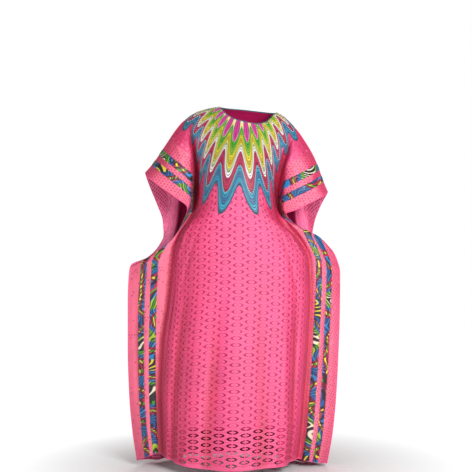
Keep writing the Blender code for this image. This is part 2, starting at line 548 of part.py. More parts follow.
def clear_scene():
    for obj in list(bpy.data.objects):
        bpy.data.objects.remove(obj, do_unlink=True)
    for collection in list(bpy.data.collections):
        bpy.data.collections.remove(collection)


def new_collection(name):
    collection = bpy.data.collections.new(name)
    bpy.context.scene.collection.children.link(collection)
    return collection


def material(name, colour):
    made = bpy.data.materials.new(name)
    made.use_nodes = True
    shader = made.node_tree.nodes["Principled BSDF"]
    shader.inputs["Base Color"].default_value = colour
    shader.inputs["Roughness"].default_value = CLOTH_ROUGHNESS
    return made


def mesh_object(name, vertices, faces, collection):
    mesh = bpy.data.meshes.new(name)
    mesh.from_pydata(vertices, [], faces)
    mesh.update()
    obj = bpy.data.objects.new(name, mesh)
    collection.objects.link(obj)
    return obj


def flat_grid(name, panel, columns, rows, collection):
    """A flat piece of the lattice between two columns and two rows, with its diagonals."""
    vertices = []
    index = {}
    for row in range(rows[0], rows[1] + 1):
        for column in range(columns[0], columns[1] + 1):
            index[(row, column)] = len(vertices)
            vertices.append((COLUMNS[panel][column], -ROWS[row], 0.0))
    faces = []
    for row in range(rows[0], rows[1]):
        for column in range(columns[0], columns[1]):
            for corners in cell_triangles(panel, row, column):
                faces.append([index[c] for c in reversed(corners)])
    return mesh_object(name, vertices, faces, collection)


def thicken(obj, low, wall):
    """Solidify a flat grid so that it fills the heights from low to low + wall."""
    solid = obj.modifiers.new("wall", "SOLIDIFY")
    solid.thickness = wall
    solid.offset = 1.0
    apply_modifiers(obj)
    for vertex in obj.data.vertices:
        vertex.co.z += low


def apply_modifiers(obj):
    graph = bpy.context.evaluated_depsgraph_get()
    graph.update()
    mesh = bpy.data.meshes.new_from_object(obj.evaluated_get(graph))
    obj.modifiers.clear()
    obj.data = mesh


def prism(outlines, name, collection):
    """Closed prisms through the flat sheet, one for each outline of (u, v) points."""
    vertices = []
    faces = []
    for outline in outlines:
        base = len(vertices)
        count = len(outline)
        for height in (-CUTTER_REACH, CUTTER_REACH):
            vertices.extend((u, -v, height) for u, v in outline)
        faces.append([base + k for k in range(count)])
        faces.append([base + count + k for k in reversed(range(count))])
        for k in range(count):
            after = (k + 1) % count
            faces.append([base + after, base + k, base + count + k, base + count + after])
    obj = mesh_object(name, vertices, faces, collection)
    shape = bmesh.new()
    shape.from_mesh(obj.data)
    bmesh.ops.recalc_face_normals(shape, faces=shape.faces)
    shape.to_mesh(obj.data)
    shape.free()
    obj.hide_render = True
    obj.display_type = "WIRE"
    return obj


def carve(obj, cutter, operation):
    step = obj.modifiers.new("carve", "BOOLEAN")
    step.object = cutter
    step.operation = operation
    step.solver = "EXACT"
    apply_modifiers(obj)


def neck_outline(panel, margin):
    """The half ellipse of the neck, run on past the shoulder fold."""
    angles = [math.pi * k / NECK_CORNERS for k in range(NECK_CORNERS + 1)]
    half_width = NECK_HALF_WIDTH + margin
    drop = NECK_DROP[panel] + margin
    outline = [(NECK_CENTRE_U + half_width * math.cos(a), drop * math.sin(a)) for a in angles]
    outline.append((NECK_CENTRE_U - half_width, -PAST_FOLD))
    outline.append((NECK_CENTRE_U + half_width, -PAST_FOLD))
    return outline


def star_outline(panel):
    """Half of a star whose points are a cosine wave, wider or longer with its ellipse."""
    count = STAR_POINTS // 2 * STAR_STEPS
    outline = []
    for k in range(count + 1):
        angle = math.pi * k / count - math.pi / 2
        phase = (k % STAR_STEPS) / STAR_STEPS
        point = (1 - math.cos(2 * math.pi * phase)) / 2
        ellipse = 1 / math.hypot(math.sin(angle) / STAR_HALF_WIDTH, math.cos(angle) / STAR_DROP[panel])
        reach = ellipse * (STAR_VALLEY + (1 - STAR_VALLEY) * point)
        outline.append((reach * math.sin(angle), max(reach * math.cos(angle), 0.0)))
    left = outline[0]
    right = outline[-1]
    return outline[1:-1] + [right, (right[0], -PAST_FOLD), (left[0], -PAST_FOLD), left]


def eye_outlines():
    """The lens-shaped gaps of the open hem, in columns staggered by half a pitch."""
    shape = ((1.0, 0.0), (0.42, 1.0), (-0.42, 1.0), (-1.0, 0.0), (-0.42, -1.0), (0.42, -1.0))
    outlines = []
    for column in range(EYE_COLUMNS):
        k = column - EYE_COLUMNS // 2
        shift = EYE_PITCH_V / 2 if k % 2 else 0.0
        for row in range(EYE_ROWS):
            u = k * EYE_PITCH_U
            v = LENGTH - EYE_LOWEST - shift - row * EYE_PITCH_V
            outlines.append([(u + a * EYE_HALF_LENGTH, v + b * EYE_HALF_HEIGHT) for a, b in shape])
    return outlines


def finish(obj, look, collection):
    """Triangles only, own material, soft shading."""
    shape = bmesh.new()
    shape.from_mesh(obj.data)
    bmesh.ops.triangulate(shape, faces=shape.faces)
    shape.to_mesh(obj.data)
    shape.free()
    obj.data.materials.clear()
    obj.data.materials.append(material(obj.name + "_material", COLOURS[look]))
    obj.data.shade_smooth()
    obj.data.set_sharp_from_angle(angle=SHARP_ANGLE)


def make_panel(panel, lattice_points, collection, cutters):
    whole = (0, len(COLUMNS[panel]) - 1)
    obj = flat_grid(panel + "_panel", panel, whole, (0, len(ROWS) - 1), collection)
    thicken(obj, 0.0, PANEL_WALL)
    neck = prism([neck_outline(panel, 0.0)], panel + "_neck_cutter", cutters)
    carve(obj, neck, "DIFFERENCE")
    eyes = prism(eye_outlines(), panel + "_eye_cutter", cutters)
    carve(obj, eyes, "DIFFERENCE")
    lay(obj, panel, *lattice_points)
    finish(obj, "lace", collection)


def make_yoke(panel, lattice_points, collection, cutters):
    columns = [k for k, u in enumerate(COLUMNS[panel]) if abs(u) <= STAR_HALF_WIDTH + STAR_MARGIN]
    rows = [k for k, v in enumerate(ROWS) if v <= STAR_DROP[panel] + STAR_MARGIN]
    span = (columns[0], columns[-1])
    obj = flat_grid("yoke_" + panel, panel, span, (0, rows[-1]), collection)
    thicken(obj, PANEL_WALL + SEAM_GAP, TRIM_WALL)
    star = prism([star_outline(panel)], panel + "_star_cutter", cutters)
    carve(obj, star, "INTERSECT")
    neck = prism([neck_outline(panel, YOKE_NECK_MARGIN)], "yoke_" + panel + "_neck_cutter", cutters)
    carve(obj, neck, "DIFFERENCE")
    lay(obj, panel, *lattice_points)
    finish(obj, "yoke", collection)


def make_strip(panel, side, place, inset, lattice_points, collection):
    name = "strip_" + panel + "_" + place + ("_left" if side > 0 else "_right")
    low = side * (HALF_WIDTH - inset) - STRIP_WIDTH / 2
    first = int(np.argmin(np.abs(COLUMNS[panel] - low)))
    obj = flat_grid(name, panel, (first, first + 1), (0, len(ROWS) - 1), collection)
    thicken(obj, PANEL_WALL + SEAM_GAP, TRIM_WALL)
    lay(obj, panel, *lattice_points)
    finish(obj, "print", collection)


def main():
    clear_scene()
    collection = new_collection(NAME)
    cutters = new_collection(NAME + "_cutters")
    for panel in ("front", "back"):
        lattice_points = lattice(panel)
        make_panel(panel, lattice_points, collection, cutters)
        make_yoke(panel, lattice_points, collection, cutters)
        for side in (-1, 1):
            make_strip(panel, side, "outer", OUTER_STRIP_INSET, lattice_points, collection)
            make_strip(panel, side, "inner", INNER_STRIP_INSET, lattice_points, collection)


main()
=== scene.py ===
"""Grand boubou robe, dressed: pink eyelet lace on its underlining, a banded star yoke set with
small stones, print strips, stitching and rolled edges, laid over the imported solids.

Every piece is worked out flat first. The flat coordinates are u, across a panel from its
centre line, and v, down the panel from the shoulder fold, both in metres. Draped.lay() takes
flat points to the worn form, at a height over it along its outward normals.
"""
import functools
import math

import bpy
import numpy as np
from bpy.props import FloatProperty, FloatVectorProperty, PointerProperty
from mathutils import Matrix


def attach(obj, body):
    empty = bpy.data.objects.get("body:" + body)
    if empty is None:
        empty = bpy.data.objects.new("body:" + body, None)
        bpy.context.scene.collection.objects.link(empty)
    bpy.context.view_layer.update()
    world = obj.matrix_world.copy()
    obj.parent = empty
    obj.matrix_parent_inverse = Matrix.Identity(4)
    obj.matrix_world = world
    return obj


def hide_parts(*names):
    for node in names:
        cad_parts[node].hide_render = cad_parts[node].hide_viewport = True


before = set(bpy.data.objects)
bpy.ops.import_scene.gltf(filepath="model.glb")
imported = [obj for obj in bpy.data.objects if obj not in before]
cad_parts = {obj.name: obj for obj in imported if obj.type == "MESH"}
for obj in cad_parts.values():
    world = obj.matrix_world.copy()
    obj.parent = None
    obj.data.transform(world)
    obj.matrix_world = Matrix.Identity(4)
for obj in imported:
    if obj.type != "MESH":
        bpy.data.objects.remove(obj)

bl_info = {
    "name": "Grand Boubou",
    "version": (1, 0, 0),
    "blender": (4, 5, 0),
    "location": "View3D > Sidebar > Boubou",
    "description": "Lace panels, star yoke, print strips and sewing of a grand boubou robe",
    "category": "Add Mesh",
}

# ---------------------------------------------------------------- sizes, in metres
HALF_WIDTH = 0.52
LENGTH = 1.44
SEAM_GAP = 0.0003

NECK_CENTRE_U = 0.0275
NECK_HALF_WIDTH = 0.1095
NECK_ENDS = (NECK_CENTRE_U - NECK_HALF_WIDTH, NECK_CENTRE_U + NECK_HALF_WIDTH)
NECK_DROP = {"front": 0.105, "back": 0.030}

STAR_TEETH = 12
STAR_HALF_WIDTH = 0.285
STAR_DROP = {"front": 0.485, "back": 0.370}
STAR_VALLEY = 0.77
STAR_INNER_VALLEY = 0.64
RIDGE_BANDS = (0.42, 0.53, 0.65, 0.71, 0.83)
STITCHED_BANDS = (0.975, 0.90, 0.765)
STONE_BANDS = (0.42, 0.65, 0.712, 0.83)
CONTOUR_STARTS = 0.42
CONTOUR_STEP = 0.0228

STRIP_WIDTH = 0.027
STRIP_INSETS = {"outer": 0.0600, "inner": 0.1100}
PRINT_SHIFT = (0.37, 0.21)

EYE_PITCH_U = 0.040
EYE_PITCH_V = 0.025
EYE_HALF_LENGTH = 0.0175
EYE_HALF_HEIGHT = 0.008
EYE_LOWEST = 0.018
EYE_COLUMNS = 17
OPEN_ROWS = 6
OPEN_CORE = (0.0105, 0.0038)
BODY_CORE = (0.0108, 0.0071)
CELL_RING = 20
UNEVEN_EYES = 0.09
UNEVEN_CORDS = 0.25
COVERED_CORDS = 0.2

SMOOTH_STEP = 0.006
SMOOTH_WEIGHTS = (1.0, 6.0, 15.0, 20.0, 15.0, 6.0, 1.0)
NORMAL_STEP = 0.003
RING_START = 0.30
PLEAT_SHARE = 0.34
PLEAT_STARTS = 0.10
PLEAT_EASING = 0.35
PLEAT_EASES_FROM = 0.25
PLEAT_EASES_OVER = 0.12
LEAST_WIDTH = 1e-4
ROUNDNESS = 0.8
FOLD_RISE = 1.6
CREASE_RISE = 2.5
CREASE_END = 1.15
FACING = {"front": -1.0, "back": 1.0}
PANELS = ("front", "back")

# ---------------------------------------------------------------- where the worn form runs
def tenths(*rows):
    """A table given in tenths of a millimetre, as an array in metres."""
    return np.array(rows) / 10000.0


# The shoulder fold, seen from the front: flat u, place x and z. Its y is 0.
SHOULDER = tenths(
    # u, x, z
    (-5200, -3771, -2573), (-4650, -3432, -2183), (-3850, -3011, -1571), (-2880, -2496, -818),
    (-2450, -2235, -533), (-1720, -1654, -178), (-1080, -1072, -38), (-820, -819, -7), (200, 273, -58),
    (1370, 1365, -233), (2360, 2125, -896), (2800, 2379, -1247), (3580, 2769, -1898), (4100, 2964, -2351),
    (4650, 3136, -2838), (5200, 3338, -3322),
)

# The centre line of each panel: flat v, place x, y and z.
CENTRE = {
    "front": tenths(
        # v, x, y, z
        (0, 0, 0, -30), (300, 0, -280, -100), (700, 0, -560, -380), (1200, -10, -880, -780),
        (1800, -30, -1180, -1300), (2500, -60, -1470, -1930), (3200, -90, -1640, -2610),
        (4000, -110, -1690, -3400), (4800, -120, -1660, -4200), (6000, -130, -1630, -5400),
        (7500, -150, -1670, -6900), (9500, -220, -1760, -8880), (11500, -300, -1870, -10860),
        (13000, -360, -1950, -12360), (14400, -420, -2000, -13760),
    ),
    "back": tenths(
        # v, x, y, z
        (0, 0, 0, -30), (300, 0, 280, -100), (700, 0, 550, -380), (1200, 0, 820, -800),
        (1800, 0, 1040, -1350), (2500, -30, 1190, -2030), (3200, -60, 1270, -2720),
        (4000, -100, 1300, -3520), (4800, -120, 1300, -4320), (6000, -130, 1340, -5520),
        (7500, -150, 1440, -7010), (9500, -220, 1580, -9000), (11500, -300, 1700, -10980),
        (13000, -360, 1770, -12470), (14400, -420, 1820, -13850),
    ),
}

def sections(*rows):
    """A table of sections, one a row. Each gives four lines down the cloth: the rim of the
    body's bulge, the start of the sleeve or wing, the turn of the loose edge behind it and
    the panel's side edge. A line after the first is given as steps from the one before.
    Columns: v, rim (u, x, y, z), wing (u, x, y, z), turn (u, x, y, z), edge (x, y, z), bow,
    which is how far the cloth swells between wing and edge."""
    table = np.array(rows)
    for start in (5, 9):
        table[:, start:start + 4] += table[:, start - 4:start]
    table[:, 13:16] += table[:, 10:13]
    return table / 10000.0


SECTIONS = {
    ("front", -1): sections(
        (0, 2400, -2235, 0, -533, 10, -4, 0, -4, 1670, -909, 0, -1222, -623, 0, -814, 0),
        (300, 2380, -2114, -260, -631, 240, -77, 0, -136, 1550, -876, 0, -1186, -617, 0, -771, 30),
        (700, 2350, -1948, -520, -909, 550, -136, 20, -306, 1380, -785, 0, -1037, -563, 0, -659, 120),
        (1200, 2320, -1809, -640, -1362, 1030, -175, 60, -476, 1110, -615, -12, -833, -441, -8, -533, 200),
        (1800, 2280, -1693, -660, -1959, 1770, -232, 60, -803, 690, -350, -12, -489, -245, -8, -319, 120),
        (2500, 2260, -1617, -640, -2649, 2440, -349, 80, -957, 280, -94, -40, -194, -41, 60, -152, 20),
        (3200, 2320, -1618, -600, -3339, 1680, -339, 300, -723, 450, -196, 40, -173, -154, 380, -247, 0),
        (4000, 2520, -1735, -560, -4049, 930, -505, 100, -537, 400, -193, 10, -232, -278, 790, -369, 0),
        (4400, 2680, -1947, -540, -4453, 720, -504, 60, -461, 420, -155, 10, -135, -382, 840, -473, 0),
        (4800, 2850, -2275, -520, -4837, 570, -349, 40, -424, 500, -196, 50, -1, -484, 810, -594, 20),
        (5200, 2960, -2469, -500, -5223, 490, -272, 30, -308, 690, -375, 130, 17, -498, 660, -616, 50),
        (5600, 3070, -2585, -490, -5627, 420, -226, 30, -174, 1130, -860, 280, -64, -264, 360, -438, 90),
        (6000, 3180, -2644, -480, -6032, 340, -214, 40, -40, 1530, -1331, 400, -107, -159, 40, -52, 140),
        (7500, 3350, -2800, -440, -7500, 300, -214, 20, -1, 930, -859, 252, -62, -573, 168, -41, 100),
        (9500, 3400, -3033, -420, -9316, 450, -214, 20, -2, 810, -719, 240, -71, -480, 160, -48, 80),
        (11500, 3350, -3091, -420, -11130, 600, -233, 20, -3, 750, -638, 240, -82, -425, 160, -55, 100),
        (13000, 3300, -3051, -440, -12478, 750, -272, 20, -4, 690, -568, 252, -68, -379, 168, -46, 120),
        (14400, 3250, -2991, -480, -13512, 900, -330, 40, 108, 630, -465, 264, -217, -309, 176, -145, 120),
    ),
    ("front", 1): sections(
        (0, 2350, 2125, 0, -896, 10, 4, 0, -4, 1700, 823, 0, -1421, 386, 0, -1001, 0),
        (300, 2330, 1975, -260, -980, 270, 58, 0, -155, 1560, 793, 0, -1355, 409, 0, -943, 30),
        (700, 2300, 1788, -520, -1275, 600, 117, 20, -325, 1380, 698, 0, -1167, 400, 0, -799, 120),
        (1200, 2260, 1590, -640, -1727, 1090, 157, 60, -457, 1110, 503, -12, -954, 322, -8, -643, 200),
        (1800, 2200, 1340, -660, -2266, 1850, 252, 60, -765, 690, 272, -12, -600, 188, -8, -400, 120),
        (2500, 2150, 1187, -640, -2918, 2550, 349, 80, -919, 280, 106, -40, -193, 49, 60, -153, 20),
        (3200, 2220, 1161, -600, -3608, 1780, 425, 300, -648, 450, 234, 40, -154, 243, 431, -189, 0),
        (4000, 2450, 1285, -580, -4299, 1000, 621, 110, -307, 470, 311, 30, -77, 377, 740, -426, 0),
        (4400, 2650, 1536, -560, -4684, 930, 619, 60, -192, 620, 412, 100, 39, 376, 640, -468, 30),
        (4800, 2850, 1903, -540, -4992, 830, 445, 40, -154, 1170, 735, 280, 19, 182, 320, -255, 60),
        (5200, 3020, 2173, -530, -5280, 710, 330, 40, -135, 1320, 920, 390, -121, 124, 80, -118, 100),
        (5600, 3180, 2367, -510, -5569, 580, 252, 30, -78, 1290, 984, 430, -318, 114, 50, -60, 120),
        (6000, 3300, 2502, -500, -5839, 480, 194, 20, -39, 1270, 1026, 450, -497, 92, 30, -59, 140),
        (7500, 3450, 2563, -460, -7267, 430, 213, 20, -1, 790, 618, 264, -342, 412, 176, -228, 100),
        (9500, 3450, 2487, -440, -9082, 500, 233, 20, -41, 750, 619, 252, -258, 413, 168, -173, 80),
        (11500, 3380, 2352, -440, -10857, 570, 252, 20, -42, 750, 632, 252, -269, 422, 168, -180, 100),
        (13000, 3300, 2235, -460, -12320, 650, 271, 20, -42, 750, 607, 264, -234, 405, 176, -156, 120),
        (14400, 3220, 2059, -500, -13623, 780, 291, 40, -47, 720, 579, 276, -128, 386, 184, -85, 120),
    ),
    ("back", -1): sections(
        (0, 2400, -2235, 0, -533, 10, -4, 0, -4, 1670, -909, 0, -1222, -623, 0, -814, 0),
        (300, 2380, -2176, 240, -637, 240, -117, 0, -196, 1550, -852, 0, -1141, -599, 0, -742, 20),
        (700, 2350, -2148, 500, -886, 450, -217, 0, -355, 1440, -759, 0, -1059, -543, 0, -678, 60),
        (1200, 2300, -2159, 740, -1319, 700, -297, 0, -417, 1320, -624, -12, -991, -446, -8, -637, 100),
        (1800, 2250, -2186, 900, -1883, 950, -358, 0, -478, 1200, -469, 12, -892, -330, 8, -581, 120),
        (2500, 2200, -2229, 980, -2576, 1150, -380, 10, -498, 1110, -326, 66, -791, -221, 44, -525, 120),
        (3200, 2250, -2310, 1000, -3293, 1100, -380, 10, -499, 1110, -257, 78, -695, -171, 52, -463, 100),
        (4000, 2400, -2429, 970, -4112, 1000, -359, 10, -439, 1080, -335, 0, -551, -224, 0, -367, 60),
        (4800, 2620, -2564, 900, -4930, 830, -339, 0, -339, 1050, -490, -144, -356, -327, -96, -237, 80),
        (6000, 2850, -2718, 800, -6143, 600, -297, -20, -158, 1050, -800, -468, 49, -533, -312, 32, 100),
        (7500, 3000, -2894, 760, -7651, 600, -296, -30, -77, 960, -754, -438, 74, -502, -292, 50, 100),
        (9500, 3100, -3054, 780, -9519, 650, -295, -40, -35, 870, -658, -444, 70, -439, -296, 47, 80),
        (11500, 3120, -3156, 820, -11392, 730, -315, -50, -32, 810, -550, -462, 92, -366, -308, 62, 80),
        (13000, 3120, -3178, 850, -12749, 800, -334, -60, -29, 770, -455, -474, 109, -303, -316, 73, 100),
        (14400, 3120, -3161, 880, -13869, 860, -352, -80, -24, 730, -349, -480, 76, -233, -320, 51, 100),
    ),
    ("back", 1): sections(
        (0, 2350, 2125, 0, -896, 10, 4, 0, -4, 1700, 823, 0, -1421, 386, 0, -1001, 0),
        (300, 2330, 2061, 240, -1010, 250, 58, 0, -176, 1570, 781, 0, -1329, 396, 0, -926, 20),
        (700, 2300, 1996, 500, -1281, 470, 158, 0, -355, 1460, 664, 0, -1204, 362, 0, -828, 60),
        (1200, 2250, 1949, 740, -1716, 720, 258, 0, -457, 1340, 515, 12, -1110, 300, 8, -754, 100),
        (1800, 2200, 1917, 900, -2281, 980, 319, 0, -518, 1210, 395, 60, -1012, 249, 40, -680, 120),
        (2500, 2160, 1901, 980, -2955, 1170, 361, 30, -537, 1120, 333, 114, -898, 220, 76, -600, 120),
        (3200, 2210, 1942, 1000, -3672, 1120, 361, 30, -479, 1120, 357, 126, -792, 238, 84, -529, 100),
        (4000, 2360, 2060, 970, -4431, 1020, 321, 30, -399, 1090, 423, 48, -624, 282, 32, -416, 60),
        (4800, 2600, 2256, 900, -5229, 840, 280, 20, -279, 1060, 506, -96, -392, 337, -64, -262, 80),
        (6000, 2850, 2469, 800, -6381, 630, 276, -20, -79, 1030, 642, -468, 16, 427, -312, 10, 100),
        (7500, 3000, 2565, 760, -7809, 620, 276, -30, -38, 950, 579, -438, 5, 386, -292, 4, 100),
        (9500, 3100, 2547, 780, -9638, 660, 295, -40, 4, 860, 546, -444, 48, 364, -296, 32, 80),
        (11500, 3120, 2450, 820, -11471, 740, 314, -50, 7, 800, 537, -462, 70, 357, -308, 46, 80),
        (13000, 3120, 2352, 850, -12868, 800, 315, -60, -29, 770, 510, -474, 87, 341, -316, 58, 100),
        (14400, 3120, 2255, 880, -13949, 860, 313, -80, -23, 730, 448, -480, 53, 299, -320, 36, 100),
    ),
}

# Large soft folds, a row each: where they start and end, their half width and their height
# (a ridge) or depth (a trough, below 0) at the lower end.
FOLDS = {
    "front": tenths(
        # u0, v0, u1, v1, half_width, height
        (-1700, 5000, -2350, 14400, 340, -130), (-1100, 6200, -1500, 14400, 400, 90),
        (-500, 7800, -750, 14400, 340, -90), (0, 4200, 100, 14400, 460, 70),
        (750, 7000, 1000, 14400, 360, -110), (1300, 4800, 1750, 14400, 400, 100),
        (1900, 5600, 2500, 14400, 340, -140),
    ),
    "back": tenths(
        # u0, v0, u1, v1, half_width, height
        (-1850, 1600, -2500, 14400, 360, -200), (-1200, 2000, -1650, 14400, 400, 120),
        (-650, 3400, -850, 14400, 340, -140), (50, 2600, 0, 14400, 440, 130),
        (800, 2200, 950, 14400, 340, -160), (1350, 3000, 1800, 14400, 400, 110),
        (1950, 1400, 2620, 14400, 360, -210),
    ),
}

# Smaller creases, in the same columns, uneven in length, depth and spacing.
CREASES = {
    "front": tenths(
        # u0, v0, u1, v1, half_width, height
        (-2050, 7000, -2620, 14400, 130, 40), (-1380, 8600, -1720, 14400, 150, -34),
        (-850, 9500, -1120, 13600, 120, 30), (-220, 6600, -300, 13000, 160, 28),
        (340, 8800, 480, 14400, 130, -32), (800, 6000, 1000, 12500, 150, 30),
        (1280, 7400, 1680, 14400, 130, -40), (1750, 6600, 2250, 13000, 140, 36),
        (2360, 8000, 2620, 14400, 120, 34), (-2500, 5800, -2840, 11000, 120, -34),
        (-4300, 6600, -4480, 14400, 140, 36), (-4860, 6400, -4780, 12000, 110, -30),
        (-3850, 7200, -3920, 14400, 100, -24), (4250, 6200, 4400, 13600, 120, 36),
        (4800, 6000, 4700, 14400, 110, -32), (3880, 7000, 3980, 12000, 100, -24),
        (-3000, 600, -3720, 2000, 140, 42), (-3500, 200, -4300, 1900, 120, -34),
        (-4000, 200, -4800, 1700, 130, 30), (3000, 500, 3800, 2000, 130, 40),
        (3550, 200, 4350, 1800, 120, -36), (4100, 100, 4880, 1600, 120, 30),
        (-1600, 4000, -2400, 6200, 130, 40), (-1100, 4400, -2150, 7400, 120, -30),
        (1650, 4200, 2450, 6000, 120, 40), (1200, 4600, 2220, 7800, 120, -30),
    ),
    "back": tenths(
        # u0, v0, u1, v1, half_width, height
        (-1900, 5200, -2400, 14400, 140, 42), (-1200, 7800, -1480, 13600, 130, -34),
        (-700, 4000, -920, 14400, 150, 36), (-100, 8400, 40, 14400, 130, -34),
        (520, 5000, 660, 13000, 140, 34), (1100, 6800, 1400, 14400, 130, -38),
        (1800, 5600, 2150, 14000, 140, 40), (2500, 7400, 2720, 14400, 120, -30),
        (-2620, 7000, -2900, 14400, 120, -34), (-4300, 6200, -4460, 14400, 140, 34),
        (-4820, 6400, -4740, 13000, 110, -28), (4300, 6000, 4460, 14000, 130, 34),
        (4840, 6600, 4760, 14400, 110, -28), (-2900, 600, -3800, 3000, 160, 42),
        (-3500, 400, -4400, 2800, 130, -34), (2900, 500, 3800, 2800, 150, 40),
        (3520, 300, 4420, 2600, 130, -34), (-600, 1000, -800, 4200, 160, 26),
        (1000, 1000, 850, 4400, 160, 26),
    ),
}

# ---------------------------------------------------------------- heights over the inner face
LINING_HEIGHT = 0.0002
LACE_HEIGHT = 0.0010
CORD_RISE = 0.0011
YOKE_HEIGHT = 0.0024
STRIP_HEIGHT = 0.0022
STRIP_DRAWN_IN = (0.65, 1.3)
LINING_ENDS = 1.288
LINING_LOW_END = 1.434
OPEN_HEM = (0.13, 0.17)
LINING_WALL = 0.0006
LACE_NECK_MARGIN = 0.002
YOKE_NECK_MARGIN = 0.001
SEWN_OVER = 0.0001
RIDGE_HEIGHT = 0.0006
RIDGE_SPREAD = 0.008
SAMPLE_STEP = 0.004
# How far round, and how deep, the cloth is measured for the mask of painted fold shade.
HOLLOW_REACH = 10
HOLLOW_DEPTH = 0.005
WING_STARTS = EYE_COLUMNS / 2 * EYE_PITCH_U
SIDE_SEAM_STARTS = 0.66

# ---------------------------------------------------------------- sewing and cords
STITCH_SHARE = 0.62
STITCH_SIZE = (0.00035, 0.0004)
STITCH_ENDS = 0.004
STRIP_STITCH_INSET = 0.0022
SIDE_STITCH_INSET = 0.007
HEM_STITCH_RISES = (0.0045, 0.0030)
NECK_STITCH_MARGIN = 0.006
STONE_RISE = 0.0007
EDGE_INSET = 0.001
EDGE_CORD_HEIGHT = 0.0006
STAR_CORD_BAND = 0.997
STAR_CORD_HEIGHT = 0.0017
NECK_CORD_HEIGHT = 0.0014
SIDE_SEAM_INSET = 0.0008
SIDE_SEAM_HEIGHT = 0.0005
SEAM_OVERLAP = 0.0009
# Half the thickness of the closing seams, and half the width and thickness of the cords.
SIDE_SEAM_HALF = 0.0011
SHOULDER_SEAM_HALF = 0.0008
HEM_CORD = (0.0022, 0.0014)
SIDE_CORD = (0.0020, 0.0012)
STAR_CORD = (0.0013, 0.0012)
NECK_CORD = (0.0022, 0.0022)

# ---------------------------------------------------------------- the studio
CAMERA_PLACE = (-0.0234, -4.2, -0.503)
CAMERA_LENS = 82.14
SENSOR_WIDTH = 36.0
FLOOR_REACH = 8.0
FLOOR_LEVEL = -1.3992
HAZE_FROM = 0.38
HAZE_TO = 0.88
LIGHTS_AIM_AT = (0.0, 0.0, -0.75)
STUDIO_AIR = 0.25
STUDIO_LIGHTS = (
    # name, place, size, power in watts
    ("key", (1.3, -3.1, 0.35), 1.3, 112.0),
    ("fill", (-2.8, -2.6, 0.0), 2.6, 18.0),
    ("back", (0.3, 3.4, 1.4), 2.4, 34.0),
)


def through(table, column, v):
    """A smooth line through one column of a table that never overshoots a row: a cubic
    between rows, with the harmonic mean of the neighbouring slopes at each."""
    at = table[:, 0]
    value = table[:, column]
    steps = np.diff(at)
    slopes = np.diff(value) / steps
    tangent = np.empty_like(value)
    tangent[0] = slopes[0]
    tangent[-1] = slopes[-1]
    same_way = slopes[:-1] * slopes[1:] > 0
    both = np.where(same_way, slopes[:-1] + slopes[1:], 1.0)
    tangent[1:-1] = np.where(same_way, 2 * slopes[:-1] * slopes[1:] / both, 0.0)
    place = np.clip(v, at[0], at[-1])
    low = np.clip(np.searchsorted(at, place, side="right") - 1, 0, len(at) - 2)
    t = (place - at[low]) / steps[low]
    rise = value[low] * (1 + 2 * t) * (1 - t) ** 2 + value[low + 1] * t * t * (3 - 2 * t)
    turn = tangent[low] * t * (1 - t) ** 2 - tangent[low + 1] * t * t * (1 - t)
    return rise + turn * steps[low]


def ease(t):
    """0 to 1 with a soft start and end: 3 t squared less 2 t cubed."""
    t = np.clip(t, 0.0, 1.0)
    return t * t * (3.0 - 2.0 * t)


def unit(vectors):
    """Vectors cut to a length of 1."""
    return vectors / np.linalg.norm(vectors, axis=-1, keepdims=True)


def place_through(table, first, v):
    """The x, y and z columns of a table, from column first, at flat v."""
    return np.stack([through(table, first + k, v) for k in range(3)], axis=-1)


def shoulder(u):
    """The shoulder fold at flat u."""
    return np.stack([through(SHOULDER, 1, u), np.zeros_like(u), through(SHOULDER, 2, u)], axis=-1)


def raw_side(panel, side, u, v):
    """One side of a panel before smoothing. Across it run a quarter of an ellipse (the body),
    a sine trough (the crease) and two straight stretches (the wing and its loose edge), and
    near the shoulder each fades into cloth that hangs straight from the fold."""
    table = SECTIONS[(panel, side)]
    facing = FACING[panel]
    across = np.abs(u)
    rim_u, wing_u, turn_u = (through(table, column, v) for column in (1, 5, 9))
    rim, wing, turn, edge = (place_through(table, column, v) for column in (2, 6, 10, 13))
    bow = through(table, 16, v)
    centre = place_through(CENTRE[panel], 1, v)
    fold_line = shoulder(side * across)
    ring = ease(v / RING_START)[..., None]

    def stretch(start_u, end_u, start, end, share, worn_share):
        """Cloth between two lines: hanging near the fold, on the worn form below it."""
        hung = (fold_line + (start - shoulder(side * start_u)) * (1 - share)
                + (end - shoulder(side * end_u)) * share)
        return (1 - ring) * hung + ring * (start + (end - start) * worn_share)

    f = np.clip(across / rim_u, 0.0, 1.0)[..., None]
    angle = f * math.pi / 2
    rounded = np.concatenate([np.sin(angle), 1 - np.cos(angle), f * f * (3 - 2 * f)], axis=-1)
    body = stretch(np.zeros_like(u), rim_u, centre, rim, f, rounded)

    width = np.maximum(wing_u - rim_u, LEAST_WIDTH)
    r = np.clip((across - rim_u) / width, 0.0, 1.0)[..., None]
    pleat = stretch(rim_u, wing_u, rim, wing, r, (r + ease(r)) / 2)
    eased = 1 - PLEAT_EASING * ease((v - PLEAT_EASES_FROM) / PLEAT_EASES_OVER)
    depth = PLEAT_SHARE * width * ease(v / PLEAT_STARTS) * eased
    pleat[..., 1] -= facing * depth * np.sin(r[..., 0] * math.pi) ** ROUNDNESS

    q = np.clip((across - wing_u) / (turn_u - wing_u), 0.0, 1.0)[..., None]
    outer = stretch(wing_u, turn_u, wing, turn, q, q)
    e = np.clip((across - turn_u) / (HALF_WIDTH - turn_u), 0.0, 1.0)[..., None]
    loose = stretch(turn_u, np.full_like(u, HALF_WIDTH), turn, edge, e, e)

    lines = (rim_u, wing_u, turn_u)
    place = np.select([(across <= line)[..., None] for line in lines], [body, pleat, outer], loose)
    swell = np.clip((across - wing_u) / (HALF_WIDTH - wing_u), 0.0, 1.0)
    place[..., 1] += facing * bow * np.sin(swell * math.pi)
    return place


